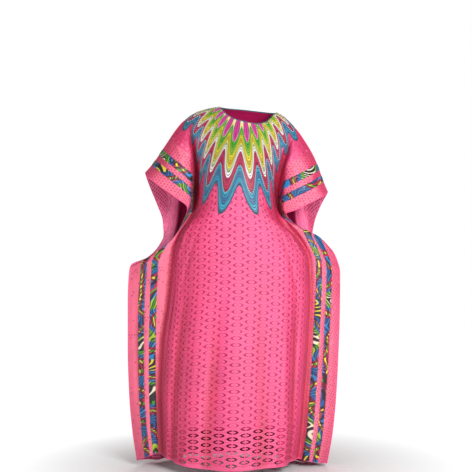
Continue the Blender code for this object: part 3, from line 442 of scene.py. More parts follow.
def raw_panel(panel, u, v):
    """A panel before smoothing. Past a side edge it runs on straight, mirrored in the edge."""
    inside = np.clip(u, -HALF_WIDTH, HALF_WIDTH)

    def of_side(at):
        return np.where((at < 0)[..., None], raw_side(panel, -1, at, v), raw_side(panel, 1, at, v))

    near = of_side(2 * inside - u)
    return np.where((u == inside)[..., None], near, 2 * of_side(inside) - near)


def smooth_panel(panel, u, v):
    """A panel averaged over neighbouring u with binomial weights, which rounds its rims."""
    half = len(SMOOTH_WEIGHTS) // 2
    shifted = [weight * raw_panel(panel, u + (k - half) * SMOOTH_STEP, v)
               for k, weight in enumerate(SMOOTH_WEIGHTS)]
    return sum(shifted) / sum(SMOOTH_WEIGHTS)


def outward(panel, u, v):
    """The outward normal of the smooth panel: the cross product of its two slopes."""
    step = NORMAL_STEP
    over = np.minimum(v + step, LENGTH)
    under = np.maximum(v - step, 0.0)
    along_u = smooth_panel(panel, u + step, v) - smooth_panel(panel, u - step, v)
    along_v = smooth_panel(panel, u, over) - smooth_panel(panel, u, under)
    return unit(np.cross(along_v, along_u) * -FACING[panel])


def fold_lift(rows, u, v):
    """The height of soft folds: each a bell across its line, fading in from its upper end."""
    lift = 0.0
    for u0, v0, u1, v1, half_width, height in rows:
        t = np.clip((v - v0) / (v1 - v0), 0.0, 1.0)
        away = (u - (u0 + (u1 - u0) * t)) / half_width
        lift = lift + height * ease(t * FOLD_RISE) * np.exp(-away * away)
    return lift


def crease_lift(rows, u, v):
    """The height of creases, which fade out again at their lower end unless that is the hem."""
    lift = 0.0
    for u0, v0, u1, v1, half_width, height in rows:
        t = (v - v0) / (v1 - v0)
        away = (u - (u0 + (u1 - u0) * np.clip(t, 0.0, 1.0))) / half_width
        fade = ease(t * CREASE_RISE)
        if v1 < LENGTH:
            fade = fade * ease((CREASE_END - t) * CREASE_RISE)
        lift = lift + height * fade * np.exp(-away * away)
    return lift


def blurred(points, reach):
    """Points of a grid averaged over a square of neighbours, by running sums along each
    axis with the border repeated."""
    width = 2 * reach + 1
    for axis in (0, 1):
        margins = [(0, 0)] * points.ndim
        margins[axis] = (reach + 1, reach)
        sums = np.cumsum(np.pad(points, margins, mode="edge"), axis=axis)
        points = (np.take(sums, range(width, sums.shape[axis]), axis=axis)
                  - np.take(sums, range(sums.shape[axis] - width), axis=axis)) / width
    return points


class Draped:
    """A worn panel on a fine flat grid: its points, its outward normals and a way to lay
    any flat point on it at a height, by weighting the four grid points around it."""

    def __init__(self, panel):
        self.u = np.linspace(-HALF_WIDTH, HALF_WIDTH, round(2 * HALF_WIDTH / SAMPLE_STEP) + 1)
        self.v = np.linspace(0.0, LENGTH, round(LENGTH / SAMPLE_STEP) + 1)
        u = self.u[None, :]
        v = self.v[:, None]
        lift = fold_lift(FOLDS[panel], u, v) + crease_lift(CREASES[panel], u, v)
        self.points = smooth_panel(panel, u, v) + lift[..., None] * outward(panel, u, v)
        self.points[..., 1] += FACING[panel] * SEAM_GAP / 2
        along_v, along_u = np.gradient(self.points, axis=(0, 1))
        normals = np.cross(along_v, along_u) * -FACING[panel]
        fold = np.gradient(self.points[0], axis=0)
        normals[0] = np.stack([-fold[:, 2], np.zeros(len(fold)), fold[:, 0]], axis=-1)
        self.normals = unit(normals)
        # How far each point lies sunk below the average of its neighbours, as a mask for painted shade in
        # the folds.
        sunk = ((blurred(self.points, HOLLOW_REACH) - self.points) * self.normals).sum(axis=-1)
        self.fold_shade_mask = np.clip(sunk / HOLLOW_DEPTH, 0.0, 1.0)

    def depth(self, u, v):
        """How far flat points u, v lie sunk in the cloth, from 0 to 1, as the mask for painted fold shade.
        """
        i = np.clip(np.round((u + HALF_WIDTH) / SAMPLE_STEP).astype(int), 0, len(self.u) - 1)
        j = np.clip(np.round(v / SAMPLE_STEP).astype(int), 0, len(self.v) - 1)
        return self.fold_shade_mask[j, i]

    def lay(self, u, v, height):
        """The places of flat points u, v at the given heights."""
        s = np.clip((u + HALF_WIDTH) / SAMPLE_STEP, 0.0, len(self.u) - 1.0001)
        t = np.clip(v / SAMPLE_STEP, 0.0, len(self.v) - 1.0001)
        i = s.astype(int)
        j = t.astype(int)
        s = (s - i)[..., None]
        t = (t - j)[..., None]
        height = np.broadcast_to(height, u.shape)[..., None]
        total = 0.0
        for down, over, share in ((0, 0, (1 - s) * (1 - t)), (0, 1, s * (1 - t)),
                                  (1, 0, (1 - s) * t), (1, 1, s * t)):
            corner = self.points[j + down, i + over] + self.normals[j + down, i + over] * height
            total = total + share * corner
        return total


@functools.cache
def draped(panel):
    """A worn panel, worked out once."""
    return Draped(panel)


# ---------------------------------------------------------------- meshes from flat shapes
def grid_faces(rows, columns):
    """The four corners of each cell of a grid whose points are numbered row by row."""
    first = (np.arange(rows - 1)[:, None] * columns + np.arange(columns - 1)).ravel()
    return np.stack([first, first + columns, first + columns + 1, first + 1], axis=-1)


def signed_areas(faces, u, v):
    """Twice the signed area of each flat face, by the shoelace formula."""
    across, down = u[faces], v[faces]
    return (across * np.roll(down, -1, axis=1) - np.roll(across, -1, axis=1) * down).sum(axis=1)


def turned_out(faces, u, v, panel):
    """Flat faces, each reversed where its signed area would make it face into the robe."""
    wrong = signed_areas(faces, u, v) * FACING[panel] < 0
    return np.where(wrong[:, None], faces[:, ::-1], faces)


def make_mesh(name, points, faces, look, maps=None, values=None, smooth=True):
    """A mesh object at the origin. faces is a list of arrays of equal-sided faces; maps are
    UV maps and values point attributes, each given at the points."""
    mesh = bpy.data.meshes.new(name)
    mesh.from_pydata(points.reshape(-1, 3).tolist(), [], [f for part in faces for f in part.tolist()])
    corner = np.empty(len(mesh.loops), dtype=np.int32)
    mesh.loops.foreach_get("vertex_index", corner)
    for key, flat in (maps or {}).items():
        layer = mesh.uv_layers.new(name=key)
        layer.data.foreach_set("uv", flat.reshape(-1, 2)[corner].ravel().astype(np.float32))
    for key, value in (values or {}).items():
        attribute = mesh.attributes.new(key, "FLOAT", "POINT")
        attribute.data.foreach_set("value", value.ravel().astype(np.float32))
    mesh.polygons.foreach_set("use_smooth", np.full(len(mesh.polygons), smooth))
    mesh.materials.append(look)
    mesh.update()
    obj = bpy.data.objects.new(name, mesh)
    bpy.context.scene.collection.objects.link(obj)
    return obj


def belongs(obj, slot, *nodes):
    """Puts a finished piece on the robe's one body and hides the imported parts given. slot is not used."""
    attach(obj, "root")
    if nodes:
        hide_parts(*nodes)
    return obj


def frames_along(panel, u, v, height):
    """Along laid flat points: their places, and unit vectors along the path, across it and
    out of the cloth."""
    sheet = draped(panel)
    place = sheet.lay(u, v, height)
    out = unit(sheet.lay(u, v, height + 0.001) - place)
    along = unit(np.gradient(place, axis=0))
    return place, along, unit(np.cross(out, along)), out


def evenly(panel, u, v, height, pitch):
    """Flat points at an even pitch of worn length along a laid path."""
    place = draped(panel).lay(u, v, height)
    walked = np.concatenate([[0.0], np.cumsum(np.linalg.norm(np.diff(place, axis=0), axis=-1))])
    stops = np.arange(pitch / 2, walked[-1], pitch)
    return np.interp(stops, walked, u), np.interp(stops, walked, v)


def tube(place, across, out, half_width, half_height, sides=8):
    """A cord: an ellipse of points carried along a path, with a flat cap at each end."""
    angle = np.arange(sides) / sides * 2 * math.pi
    ring = (np.cos(angle)[None, :, None] * across[:, None] * half_width
            + np.sin(angle)[None, :, None] * out[:, None] * half_height)
    last = (len(place) - 1) * sides
    here = np.arange(0, last, sides)[:, None]
    first = (here + np.arange(sides)).ravel()
    after = (here + (np.arange(sides) + 1) % sides).ravel()
    quads = np.stack([first, after, after + sides, first + sides], axis=-1)
    caps = np.stack([np.arange(sides)[::-1], last + np.arange(sides)])
    return (place[:, None] + ring).reshape(-1, 3), [quads, caps]


def joined(parts):
    """Several (points, faces) shapes as one."""
    points = []
    faces = []
    base = 0
    for part_points, part_faces in parts:
        points.append(part_points)
        faces.extend(f + base for f in part_faces)
        base += len(part_points)
    return np.concatenate(points), faces


def repeated(place, along, across, out, shape, shape_faces):
    """One small shape set down at each place: its columns run along, across and out."""
    axes = np.stack([along, across, out], axis=1)
    points = (place[:, None] + np.einsum("pk,nkc->npc", shape, axes)).reshape(-1, 3)
    base = np.arange(len(place))[:, None, None] * len(shape)
    faces = [(f[None] + base).reshape(-1, f.shape[1]) for f in shape_faces]
    return points, faces


def set_along(panel, lines, pitch, shape, faces):
    """A small shape repeated at an even pitch along laid lines, each a (u, v, height)."""
    parts = []
    for u, v, height in lines:
        stops = evenly(panel, u, v, height, pitch)
        parts.append(repeated(*frames_along(panel, *stops, height), shape, faces))
    return parts


def add_sewing(name, parts, look, slot, smooth=True):
    """Small parts joined into one piece on the robe."""
    points, faces = joined(parts)
    return belongs(make_mesh(name, points, faces, look, smooth=smooth), slot)


def neck_line(panel, angle, margin):
    """Flat points at angles round the neck's half ellipse, widened by a margin."""
    return (NECK_CENTRE_U + (NECK_HALF_WIDTH + margin) * np.cos(angle),
            (NECK_DROP[panel] + margin) * np.sin(angle))


def neck_depth(panel, u, margin):
    """How far down the neck's half ellipse reaches at flat u, and 0 beside it."""
    across = (u - NECK_CENTRE_U) / (NECK_HALF_WIDTH + margin)
    return (NECK_DROP[panel] + margin) * np.sqrt(np.clip(1 - across * across, 0.0, 1.0))


# ---------------------------------------------------------------- the star yoke's own coordinates
def star_ellipse(panel, angle):
    """The distance from the neck's middle to the ellipse that the star's tips touch."""
    return 1 / np.hypot(np.sin(angle) / STAR_HALF_WIDTH, np.cos(angle) / STAR_DROP[panel])


def star_valley(t):
    """How deep the valleys lie at band t, as a share of the tips: shallower outwards."""
    return STAR_INNER_VALLEY + (STAR_VALLEY - STAR_INNER_VALLEY) * ease((t - 0.5) / 0.5)


def star_reach(panel, angle, t):
    """The distance from the middle at which band t lies: the ellipse, times t, times a
    cosine wave of teeth between the valley's share and 1."""
    tooth = (1 - np.cos((angle / math.pi + 0.5) * STAR_TEETH * 2 * math.pi)) / 2
    low = star_valley(t)
    return star_ellipse(panel, angle) * t * (low + (1 - low) * tooth)


def star_point(panel, angle, t):
    """The flat point on band t at an angle from straight down."""
    reach = star_reach(panel, angle, t)
    return reach * np.sin(angle), np.maximum(reach * np.cos(angle), 0.0)


def star_neck(panel, angle, margin):
    """The band t at which the neck's edge lies: where a ray from the middle leaves the
    neck's ellipse, by the quadratic formula, turned into t by a few steps of division."""
    half_width = NECK_HALF_WIDTH + margin
    drop = NECK_DROP[panel] + margin
    a = (np.sin(angle) / half_width) ** 2 + (np.cos(angle) / drop) ** 2
    b = -2 * NECK_CENTRE_U * np.sin(angle) / half_width ** 2
    c = (NECK_CENTRE_U / half_width) ** 2 - 1
    distance = (-b + np.sqrt(b * b - 4 * a * c)) / (2 * a)
    t = np.full_like(angle, 0.4)
    for _ in range(12):
        t = t * distance / star_reach(panel, angle, t)
    return t, distance


def star_line(panel, t, steps):
    """Flat points along band t, from the right shoulder fold round to the left one."""
    angle = np.linspace(-math.pi / 2, math.pi / 2, STAR_TEETH * steps + 1)
    return *star_point(panel, angle, np.full_like(angle, t)), angle


# ---------------------------------------------------------------- materials
class Tree:
    """Short calls for a node tree. Each returns the new node's output socket."""

    def __init__(self, tree, material=None):
        self.tree = tree
        self.material = material

    def put(self, socket, value):
        if isinstance(value, bpy.types.NodeSocket):
            self.tree.links.new(value, socket)
        elif value is not None:
            socket.default_value = value

    def fill(self, node, values):
        """Puts values into a node's inputs, by name or by number."""
        for key, value in values.items():
            self.put(node.inputs[key], value)
        return node

    def node(self, kind, *values, **settings):
        made = self.tree.nodes.new(kind)
        for key, value in settings.items():
            setattr(made, key, value)
        return self.fill(made, dict(enumerate(values)))

    def group(self, group, *values):
        return self.node("ShaderNodeGroup", *values, node_tree=group).outputs

    def math(self, operation, *values):
        return self.node("ShaderNodeMath", *values, operation=operation).outputs[0]

    def times(self, *values):
        """The product of two or more values."""
        return functools.reduce(lambda a, b: self.math("MULTIPLY", a, b), values)

    def span(self, value, start, end, low=0.0, high=1.0):
        """low where value is at start, high where it is at end, and held beyond both."""
        return self.node("ShaderNodeMapRange", value, start, end, low, high).outputs[0]

    def centred(self, value):
        """How far value lies past the middle between its two whole numbers."""
        return self.math("SUBTRACT", self.math("FRACT", value), 0.5)

    def reach(self, x, y):
        """The distance of x, y from 0."""
        return self.node("ShaderNodeVectorMath", self.vector(x, y), operation="LENGTH").outputs["Value"]

    def line(self, value, at, width):
        """1 on a line where value is at, falling to 0 within width of it."""
        return self.span(self.math("ABSOLUTE", self.math("SUBTRACT", value, at)), 0.0, width, 1.0, 0.0)

    def mix(self, share, a, b, blend="MIX"):
        made = self.node("ShaderNodeMix", data_type="RGBA", blend_type=blend)
        return self.fill(made, {0: share, 6: a, 7: b}).outputs[2]

    def ramp(self, value, stops, interpolation="LINEAR"):
        made = self.node("ShaderNodeValToRGB", value)
        ramp = made.color_ramp
        ramp.interpolation = interpolation
        ramp.elements.remove(ramp.elements[1])
        ramp.elements[0].position, ramp.elements[0].color = stops[0]
        for place, colour in stops[1:]:
            ramp.elements.new(place).color = colour
        return made.outputs[0]

    def noise(self, place, scale, detail=2.0, distortion=0.0):
        values = {"Vector": place, "Scale": scale, "Detail": detail, "Distortion": distortion}
        return self.fill(self.node("ShaderNodeTexNoise"), values).outputs["Fac"]

    def split(self, vector):
        return self.node("ShaderNodeSeparateXYZ", vector).outputs

    def vector(self, x, y, z=0.0):
        return self.node("ShaderNodeCombineXYZ", x, y, z).outputs[0]

    def flat_map(self, name):
        return self.node("ShaderNodeUVMap", uv_map=name).outputs[0]

    def object_place(self):
        return self.node("ShaderNodeTexCoord").outputs["Object"]

    def attribute(self, name):
        return self.node("ShaderNodeAttribute", attribute_name=name).outputs["Fac"]


def linear(red, green, blue):
    """An sRGB colour of 0 to 255 as the linear colour that a shader takes."""
    s = np.array([red, green, blue]) / 255.0
    lin = np.where(s <= 0.04045, s / 12.92, ((s + 0.055) / 1.055) ** 2.4)
    return (*[float(x) for x in lin], 1.0)


def effect(name, inputs, outputs, fill):
    """A shader node group. inputs and outputs are (name, kind of socket, default) rows; fill
    makes its nodes from the input sockets and returns its output values."""
    group = bpy.data.node_groups.get(name)
    if group:
        return group
    group = bpy.data.node_groups.new(name, "ShaderNodeTree")
    for way, rows in (("INPUT", inputs), ("OUTPUT", outputs)):
        for label, kind, default in rows:
            socket = group.interface.new_socket(label, in_out=way, socket_type="NodeSocket" + kind)
            if default is not None:
                socket.default_value = default
    tree = Tree(group)
    tree.node("NodeGroupOutput", *fill(tree, tree.node("NodeGroupInput").outputs))
    return group


def weave_group():
    """Plain weave: the product of two sines a thread pitch long, with uneven yarn."""
    def fill(tree, given):
        across, down, _ = tree.split(given["Place"])
        turn = tree.math("DIVIDE", 2 * math.pi, given["Pitch"])
        cross = tree.times(*(tree.math("SINE", tree.times(way, turn)) for way in (across, down)))
        yarn = tree.noise(given["Place"], 420.0, 3.0)
        height = tree.math("ADD", tree.times(cross, 0.35), yarn)
        shade = tree.math("MULTIPLY_ADD", cross, 0.06, tree.math("MULTIPLY_ADD", yarn, 0.3, 0.85))
        return height, shade
    given = (("Place", "Vector", None), ("Pitch", "Float", 0.001))
    return effect("yarn_weave", given, (("Height", "Float", None), ("Shade", "Float", None)), fill)


def drift_group():
    """Slow shifts of tone over cloth, as from handling and dye: two sizes of noise."""
    def fill(tree, given):
        wide = tree.noise(given["Place"], 7.0, 2.0)
        near = tree.noise(given["Place"], 46.0, 3.0)
        both = tree.math("MULTIPLY_ADD", near, 0.5, tree.times(wide, 0.9))
        tone = tree.math("ADD", tree.times(tree.math("SUBTRACT", both, 0.7), given["Amount"]), 1.0)
        return (tree.mix(1.0, given["Color"], tree.vector(tone, tone, tone), "MULTIPLY"),)
    given = (("Color", "Color", None), ("Place", "Vector", None), ("Amount", "Float", 0.5))
    return effect("dye_drift", given, (("Color", "Color", None),), fill)


def eyelet_group():
    """Rows of small eyelets: round spots on a staggered net, dropped here and there."""
    def fill(tree, given):
        across, down, _ = tree.split(given["Place"])
        row = tree.math("DIVIDE", down, given["Pitch"])
        odd = tree.times(tree.math("MODULO", tree.math("FLOOR", row), 2.0), 0.5)
        column = tree.math("ADD", tree.math("DIVIDE", across, given["Pitch"]), odd)
        spot = tree.span(tree.reach(tree.centred(column), tree.centred(row)), 0.35, 0.225)
        cell = tree.vector(tree.math("FLOOR", column), tree.math("FLOOR", row))
        chance = tree.node("ShaderNodeTexWhiteNoise", cell, noise_dimensions="2D").outputs["Value"]
        return (tree.times(spot, tree.math("LESS_THAN", chance, given["Share"])),)
    given = (("Place", "Vector", None), ("Pitch", "Float", 0.011), ("Share", "Float", 0.8))
    return effect("eyelets", given, (("Spot", "Float", None),), fill)


def new_look(name):
    """A new material, as the tree of its nodes."""
    made = bpy.data.materials.new(name)
    made.use_nodes = True
    return Tree(made.node_tree, made)


def finish_look(tree, colour, height, roughness, bump, sheen=0.0, tint=None, coat=0.0, gloss=0.5):
    """Links a colour, a height and a roughness to the material's own Principled BSDF."""
    relief = tree.fill(tree.node("ShaderNodeBump"), {"Strength": 0.8, "Distance": bump, "Height": height})
    tree.fill(tree.tree.nodes["Principled BSDF"], {
        "Base Color": colour, "Roughness": roughness, "Specular IOR Level": gloss, "Sheen Weight": sheen,
        "Sheen Roughness": 0.45, "Sheen Tint": tint, "Coat Weight": coat, "Normal": relief.outputs[0]})
    return tree.material


def finish_cloth(tree, colour, pitch, drift, roughness, bump, raised=None, amount=0.0, **finish):
    """What every cloth shares: its weave, slow shifts of tone and a fine relief, to which
    raised is added amount times."""
    flat = tree.flat_map("flat")
    weave = tree.group(weave_group(), flat, pitch)
    colour = tree.mix(1.0, colour, weave["Shade"], "MULTIPLY")
    colour = tree.group(drift_group(), colour, flat, drift)[0]
    height = weave["Height"]
    if raised is not None:
        height = tree.math("MULTIPLY_ADD", raised, amount, height)
    return finish_look(tree, colour, height, roughness, bump, **finish)


def lace_look(settings):
    """Pink lace: painted light on its raised cord and painted shade on its ground, painted shade
    where it turns away from the view, on the wearer's right and deep in its folds, with eyelets towards the
    side edges."""
    tree = new_look("pink_lace")
    flat = tree.flat_map("flat")
    net = tree.attribute("net")
    across, down, _ = tree.split(flat)
    above = tree.span(down, -0.58, -0.33, 0.0, 0.88)
    share = tree.math("MAXIMUM", above, tree.math("MULTIPLY_ADD", across, 0.8, 0.5))
    spot = tree.times(tree.group(eyelet_group(), flat, 0.0118, share)["Spot"], net)
    facing = tree.node("ShaderNodeLayerWeight").outputs["Facing"]
    hem = -LENGTH + 0.016
    # Painted light on the raised cords and painted shade on the ground between them, over the lace's own
    # pink.
    colour = tree.mix(tree.attribute("relief"), settings.lace_shade, settings.lace_light)
    for amount, other in (
        # Painted shade: the body lace deepens towards the wearer's right, the side away from the key light.
        (tree.span(across, -0.05, -0.16, 0.0, 0.55), settings.lace_shade),
        (tree.times(net, 0.75), settings.wing_colour),
        (tree.span(down, hem, hem - 0.0015, 0.0, 0.6), settings.edge_colour),
        # Painted shade where the lace turns away from the view, standing in for the sheen it loses there.
        (tree.span(facing, 0.06, 0.46, 0.0, 0.8), settings.lace_shade),
        # Painted shade deep in the folds: a saturated red mixed in where the cloth lies sunk.
        (tree.times(tree.attribute("fold_shade_mask"), 0.85), settings.fold_shade_colour),
        # The wings' eyelets show the lining's colour, darkened as painted shade.
        (tree.times(spot, 0.8), settings.shaded_lining_colour),
    ):
        colour = tree.mix(amount, colour, other)
    return finish_cloth(tree, colour, 0.0016, 0.45, 0.45, 0.0005, spot, -1.2, sheen=0.06,
                        tint=(1.0, 0.8, 0.9, 1.0), gloss=1.0)


def lining_look(settings):
    """The underlining: a deeper pink behind the eyes, darkened as painted shade, and towards the
    side edges the wrong side of the netted cloth with its eyelets, painted lighter as painted light."""
    tree = new_look("underlining")
    flat = tree.flat_map("flat")
    outer = tree.span(tree.math("ABSOLUTE", tree.split(flat)[0]), 0.26, 0.343)
    spot = tree.group(eyelet_group(), flat, 0.0125, 0.85)["Spot"]
    # The wrong side is painted lighter, as painted light against the shade inside the arm openings.
    netted = tree.mix(spot, settings.lit_wrong_side_colour, settings.shaded_lining_colour)
    # Behind the eyes the lining is darkened as painted shade.
    colour = tree.mix(outer, settings.shaded_lining_colour, netted)
    return finish_cloth(tree, colour, 0.0008, 0.5, 0.55, 0.0002, sheen=0.1, tint=(1.0, 0.6, 0.75, 1.0))


def yoke_look():
    """The printed star: bands by how far out they lie, with dark contour lines at even
    steps, and petals between rays inside the first band."""
    tree = new_look("star_print")
    tooth, band, _ = tree.split(tree.flat_map("star"))
    wobble = tree.noise(tree.flat_map("flat"), 60.0, 2.0)
    t = tree.math("ADD", band, tree.times(tree.math("SUBTRACT", wobble, 0.5), 0.02))
    colour = tree.ramp(t, (
        (0.00, linear(205, 50, 145)), (0.42, linear(66, 172, 36)), (0.475, linear(135, 192, 36)),
        (0.53, linear(228, 216, 36)), (0.585, linear(205, 165, 26)), (0.615, linear(228, 218, 50)),
        (0.650, linear(150, 175, 90)), (0.668, linear(236, 234, 228)), (0.712, linear(175, 26, 80)),
        (0.76, linear(205, 20, 78)), (0.80, linear(135, 12, 62)), (0.83, linear(22, 148, 182)),
        (0.875, linear(12, 108, 150)), (0.92, linear(30, 160, 192)), (0.97, linear(10, 90, 128)),
    ), "CONSTANT")
    side = tree.math("ABSOLUTE", tree.centred(tooth))
    inmost = tree.math("LESS_THAN", t, CONTOUR_STARTS)
    ray = tree.ramp(t, ((0.27, linear(238, 234, 225)), (CONTOUR_STARTS, linear(222, 205, 60))))
    colour = tree.mix(tree.times(inmost, tree.math("GREATER_THAN", side, 0.27)), colour, ray)
    lines = [tree.times(tree.line(side, 0.27, 0.05), inmost),
             tree.times(tree.line(side, 0.0, 0.03), tree.math("LESS_THAN", t, 0.38))]
    for at in (*np.arange(CONTOUR_STARTS, 0.98, CONTOUR_STEP), 0.988):
        lines.append(tree.line(t, float(at), 0.0058))
    line = functools.reduce(lambda a, b: tree.math("MAXIMUM", a, b), lines)
    colour = tree.mix(tree.span(line, 0.0, 0.418, 0.0, 0.92), colour, linear(38, 30, 34))
    return finish_cloth(tree, colour, 0.0007, 0.4, 0.5, 0.0003, line, 1.2, sheen=0.1, coat=0.05)


def print_look():
    """The strips' cloth: bands that flow round bends of noise, in patches of colour, two
    tones to a patch, with a dark line between tones."""
    tree = new_look("strip_print")
    flat = tree.flat_map("flat")
    patch = tree.span(tree.noise(flat, 8.0, 0.2, 0.1), 0.2826, 0.7174)
    rings = tree.times(tree.noise(flat, 11.0, 0.0, 0.6), 8.0)
    tones = (
        (0.00, linear(24, 24, 28), linear(226, 216, 190)), (0.14, linear(48, 140, 22), linear(150, 182, 36)),
        (0.30, linear(12, 84, 152), linear(30, 130, 190)), (0.44, linear(110, 0, 42), linear(180, 16, 66)),
        (0.53, linear(60, 150, 26), linear(218, 206, 44)), (0.60, linear(175, 12, 60), linear(110, 5, 45)),
        (0.68, linear(14, 78, 138), linear(20, 116, 176)), (0.90, linear(24, 24, 26), linear(215, 195, 50)),
    )
    first, second = (tree.ramp(patch, [(row[0], row[tone]) for row in tones], "CONSTANT")
                     for tone in (1, 2))
    colour = tree.mix(tree.math("GREATER_THAN", tree.math("FRACT", rings), 0.5), first, second)
    between = tree.math("ABSOLUTE", tree.centred(tree.times(rings, 2.0)))
    colour = tree.mix(tree.span(between, 0.22, 0.3557, 0.0, 0.95), colour, linear(16, 16, 22))
    return finish_cloth(tree, colour, 0.0007, 0.35, 0.48, 0.0002, sheen=0.1, coat=0.06)


def thread_look(name, colour, roughness=0.5):
    """Sewing thread or cord: fine twisted yarn on Object coordinates."""
    tree = new_look(name)
    place = tree.object_place()
    yarn = tree.noise(place, 900.0, 3.0)
    tone = tree.mix(1.0, colour, tree.math("MULTIPLY_ADD", yarn, 0.5, 0.75), "MULTIPLY")
    tone = tree.group(drift_group(), tone, place, 0.4)[0]
    return finish_look(tree, tone, yarn, roughness, 0.0003, 0.3, colour)


def stone_look():
    """Small glass stones, clear and gold by turns, with a slight haze."""
    tree = new_look("stones")
    place = tree.object_place()
    tones = ((0.0, linear(235, 240, 245)), (0.5, linear(250, 225, 150)), (0.56, linear(225, 240, 250)))
    colour = tree.ramp(tree.noise(place, 160.0, 0.0), tones, "CONSTANT")
    haze = tree.noise(place, 700.0, 2.0)
    return finish_look(tree, colour, haze, tree.math("MULTIPLY_ADD", haze, 0.2, 0.05), 0.0001, coat=0.6)


# ---------------------------------------------------------------- the pieces
def add_grid(name, panel, u, v, height, look, **maps):
    """A piece that is one grid of flat points, laid on a panel at the given heights. Its
    flat map is those flat points, unless another is given."""
    points = draped(panel).lay(u, v, height)
    faces = turned_out(grid_faces(*v.shape), u.ravel(), v.ravel(), panel)
    return make_mesh(name, points, [faces], look, {"flat": np.stack([u, -v], axis=-1), **maps})


def lining_sheet(panel, look):
    """The underlining: rows spread evenly from the neck's edge, or from the shoulder fold
    beside it, to just above the hem, and in front's middle to where the open lace starts.
    Columns crowd round the neck's ends."""
    left, right = NECK_ENDS
    round_neck = NECK_CENTRE_U - NECK_HALF_WIDTH * np.cos(np.linspace(0.0, math.pi, 29))
    u = np.concatenate([np.linspace(-HALF_WIDTH, left, 68)[:-1], round_neck,
                        np.linspace(right, HALF_WIDTH, 60)[1:]])
    top = neck_depth(panel, u, 0.0)
    lined = ease((np.abs(u) - OPEN_HEM[0]) / (OPEN_HEM[1] - OPEN_HEM[0])) if panel == "front" else 1.0
    end = LINING_ENDS + (LINING_LOW_END - LINING_ENDS) * lined
    v = top + (end - top) * np.linspace(0.0, 1.0, 160)[:, None]
    u = np.broadcast_to(u, v.shape)
    obj = add_grid("underlining_" + panel, panel, u, v, LINING_HEIGHT, look)
    wall = obj.modifiers.new("wall", "SOLIDIFY")
    wall.thickness = LINING_WALL
    wall.offset = -1.0
    belongs(obj, "lace", panel + "_panel")
    return obj


def eye_cell(core_length, core_height):
    """One repeat of the lace about its eye, as rings of points: the cell's border, a raised
    cord, the eye's lens-shaped edge, a core, and the core's crest, whose fan closes on a
    sunk middle. Bars above and below hold the core. Columns: u, v, rise, relief."""
    steps = ((3, 0), (3, 1), (3, 2), (2, 2), (1, 2), (0, 2), (-1, 2), (-2, 2), (-3, 2), (-3, 1))
    border = np.array(steps + tuple((-a, -b) for a, b in steps)) * (EYE_PITCH_U / 6, EYE_PITCH_V / 4)
    half_turn = np.array((0, 13, 30, 52, 80, 90, 100, 128, 150, 167))
    angle = np.radians(np.append(half_turn, half_turn + 180))
    bend = np.sign(np.sin(angle)) * np.abs(np.sin(angle)) ** 1.3
    lens = np.stack([EYE_HALF_LENGTH * np.cos(angle), EYE_HALF_HEIGHT * bend], axis=-1)
    core = np.stack([core_length * np.cos(angle), core_height * np.sin(angle)], axis=-1)
    rings = []
    for ring, rise, relief in (
        (border, 0.0, 0.35), (lens + 0.45 * (border - lens), 1.0, 1.0), (lens, 0.35, 0.3),
        (core, 0.3, 0.4), (0.62 * core, 0.9, 1.0), (np.zeros((1, 2)), 0.1, 0.0),
    ):
        rings.append(np.column_stack([ring, np.full(len(ring), rise), np.full(len(ring), relief)]))
    here = np.arange(CELL_RING)
    after = (here + 1) % CELL_RING
    quads = [np.stack([here + a, after + a, after + a + CELL_RING, here + a + CELL_RING], axis=-1)
             for a in (0, CELL_RING, 3 * CELL_RING)]
    bars = np.array((4, 5, 14, 15)) + 2 * CELL_RING
    quads.append(np.stack([bars, bars + 1, bars + 1 + CELL_RING, bars + CELL_RING], axis=-1))
    last = 4 * CELL_RING
    fan = np.stack([here + last, after + last, np.full(CELL_RING, last + CELL_RING)], axis=-1)
    return np.concatenate(rings), np.concatenate(quads), fan


def eye_columns():
    """The flat u of each column of eyes and the v of its lowest eye, every second one half
    a pitch higher."""
    for k in range(-(EYE_COLUMNS // 2), EYE_COLUMNS // 2 + 1):
        yield k * EYE_PITCH_U, LENGTH - EYE_LOWEST - (EYE_PITCH_V / 2 if k % 2 else 0.0)


def eyes(panel, core, first_row, last_row):
    """All eyes of some rows that clear the neck, a little uneven in size, and low where the
    yoke covers them."""
    cell, quads, fan = eye_cell(*core)
    centres = []
    for u, lowest in eye_columns():
        rows = np.arange(int((lowest - EYE_PITCH_V / 2) / EYE_PITCH_V) + 1)[first_row:last_row]
        centres.append(np.column_stack([np.full(len(rows), u), lowest - rows * EYE_PITCH_V]))
    centres = np.concatenate(centres)
    border = centres[:, None] + cell[None, :CELL_RING, :2]
    centres = centres[(border[..., 1] > neck_depth(panel, border[..., 0], LACE_NECK_MARGIN)).all(axis=1)]
    u, v = centres.T
    covered = np.hypot(u, v) < star_reach(panel, np.arctan2(u, v), np.ones_like(u))
    flat = np.zeros((len(centres), len(cell), 5))
    flat[..., :4] = cell
    flat[:, 3 * CELL_RING:, :2] *= (1 + UNEVEN_EYES * np.sin(u * 937.0 + v * 1187.0))[:, None, None]
    flat[..., :2] += centres[:, None]
    uneven = 1 + UNEVEN_CORDS * np.sin(u * 271.0 + v * 611.0)
    flat[..., 2] *= np.where(covered, COVERED_CORDS, uneven)[:, None]
    base = np.arange(len(centres))[:, None, None] * len(cell)
    return flat.reshape(-1, 5), [(quads[None] + base).reshape(-1, 4), (fan[None] + base).reshape(-1, 3)]


def plain_patch(us, vs, relief, net):
    """A plain stretch of lace cloth on a flat grid, in the same columns and net."""
    v, u = np.meshgrid(vs, us, indexing="ij")
    flat = np.column_stack([u.ravel(), v.ravel(), np.zeros(u.size), np.full(u.size, relief),
                            np.full(u.size, net)])
    return flat, [grid_faces(len(vs), len(us))]


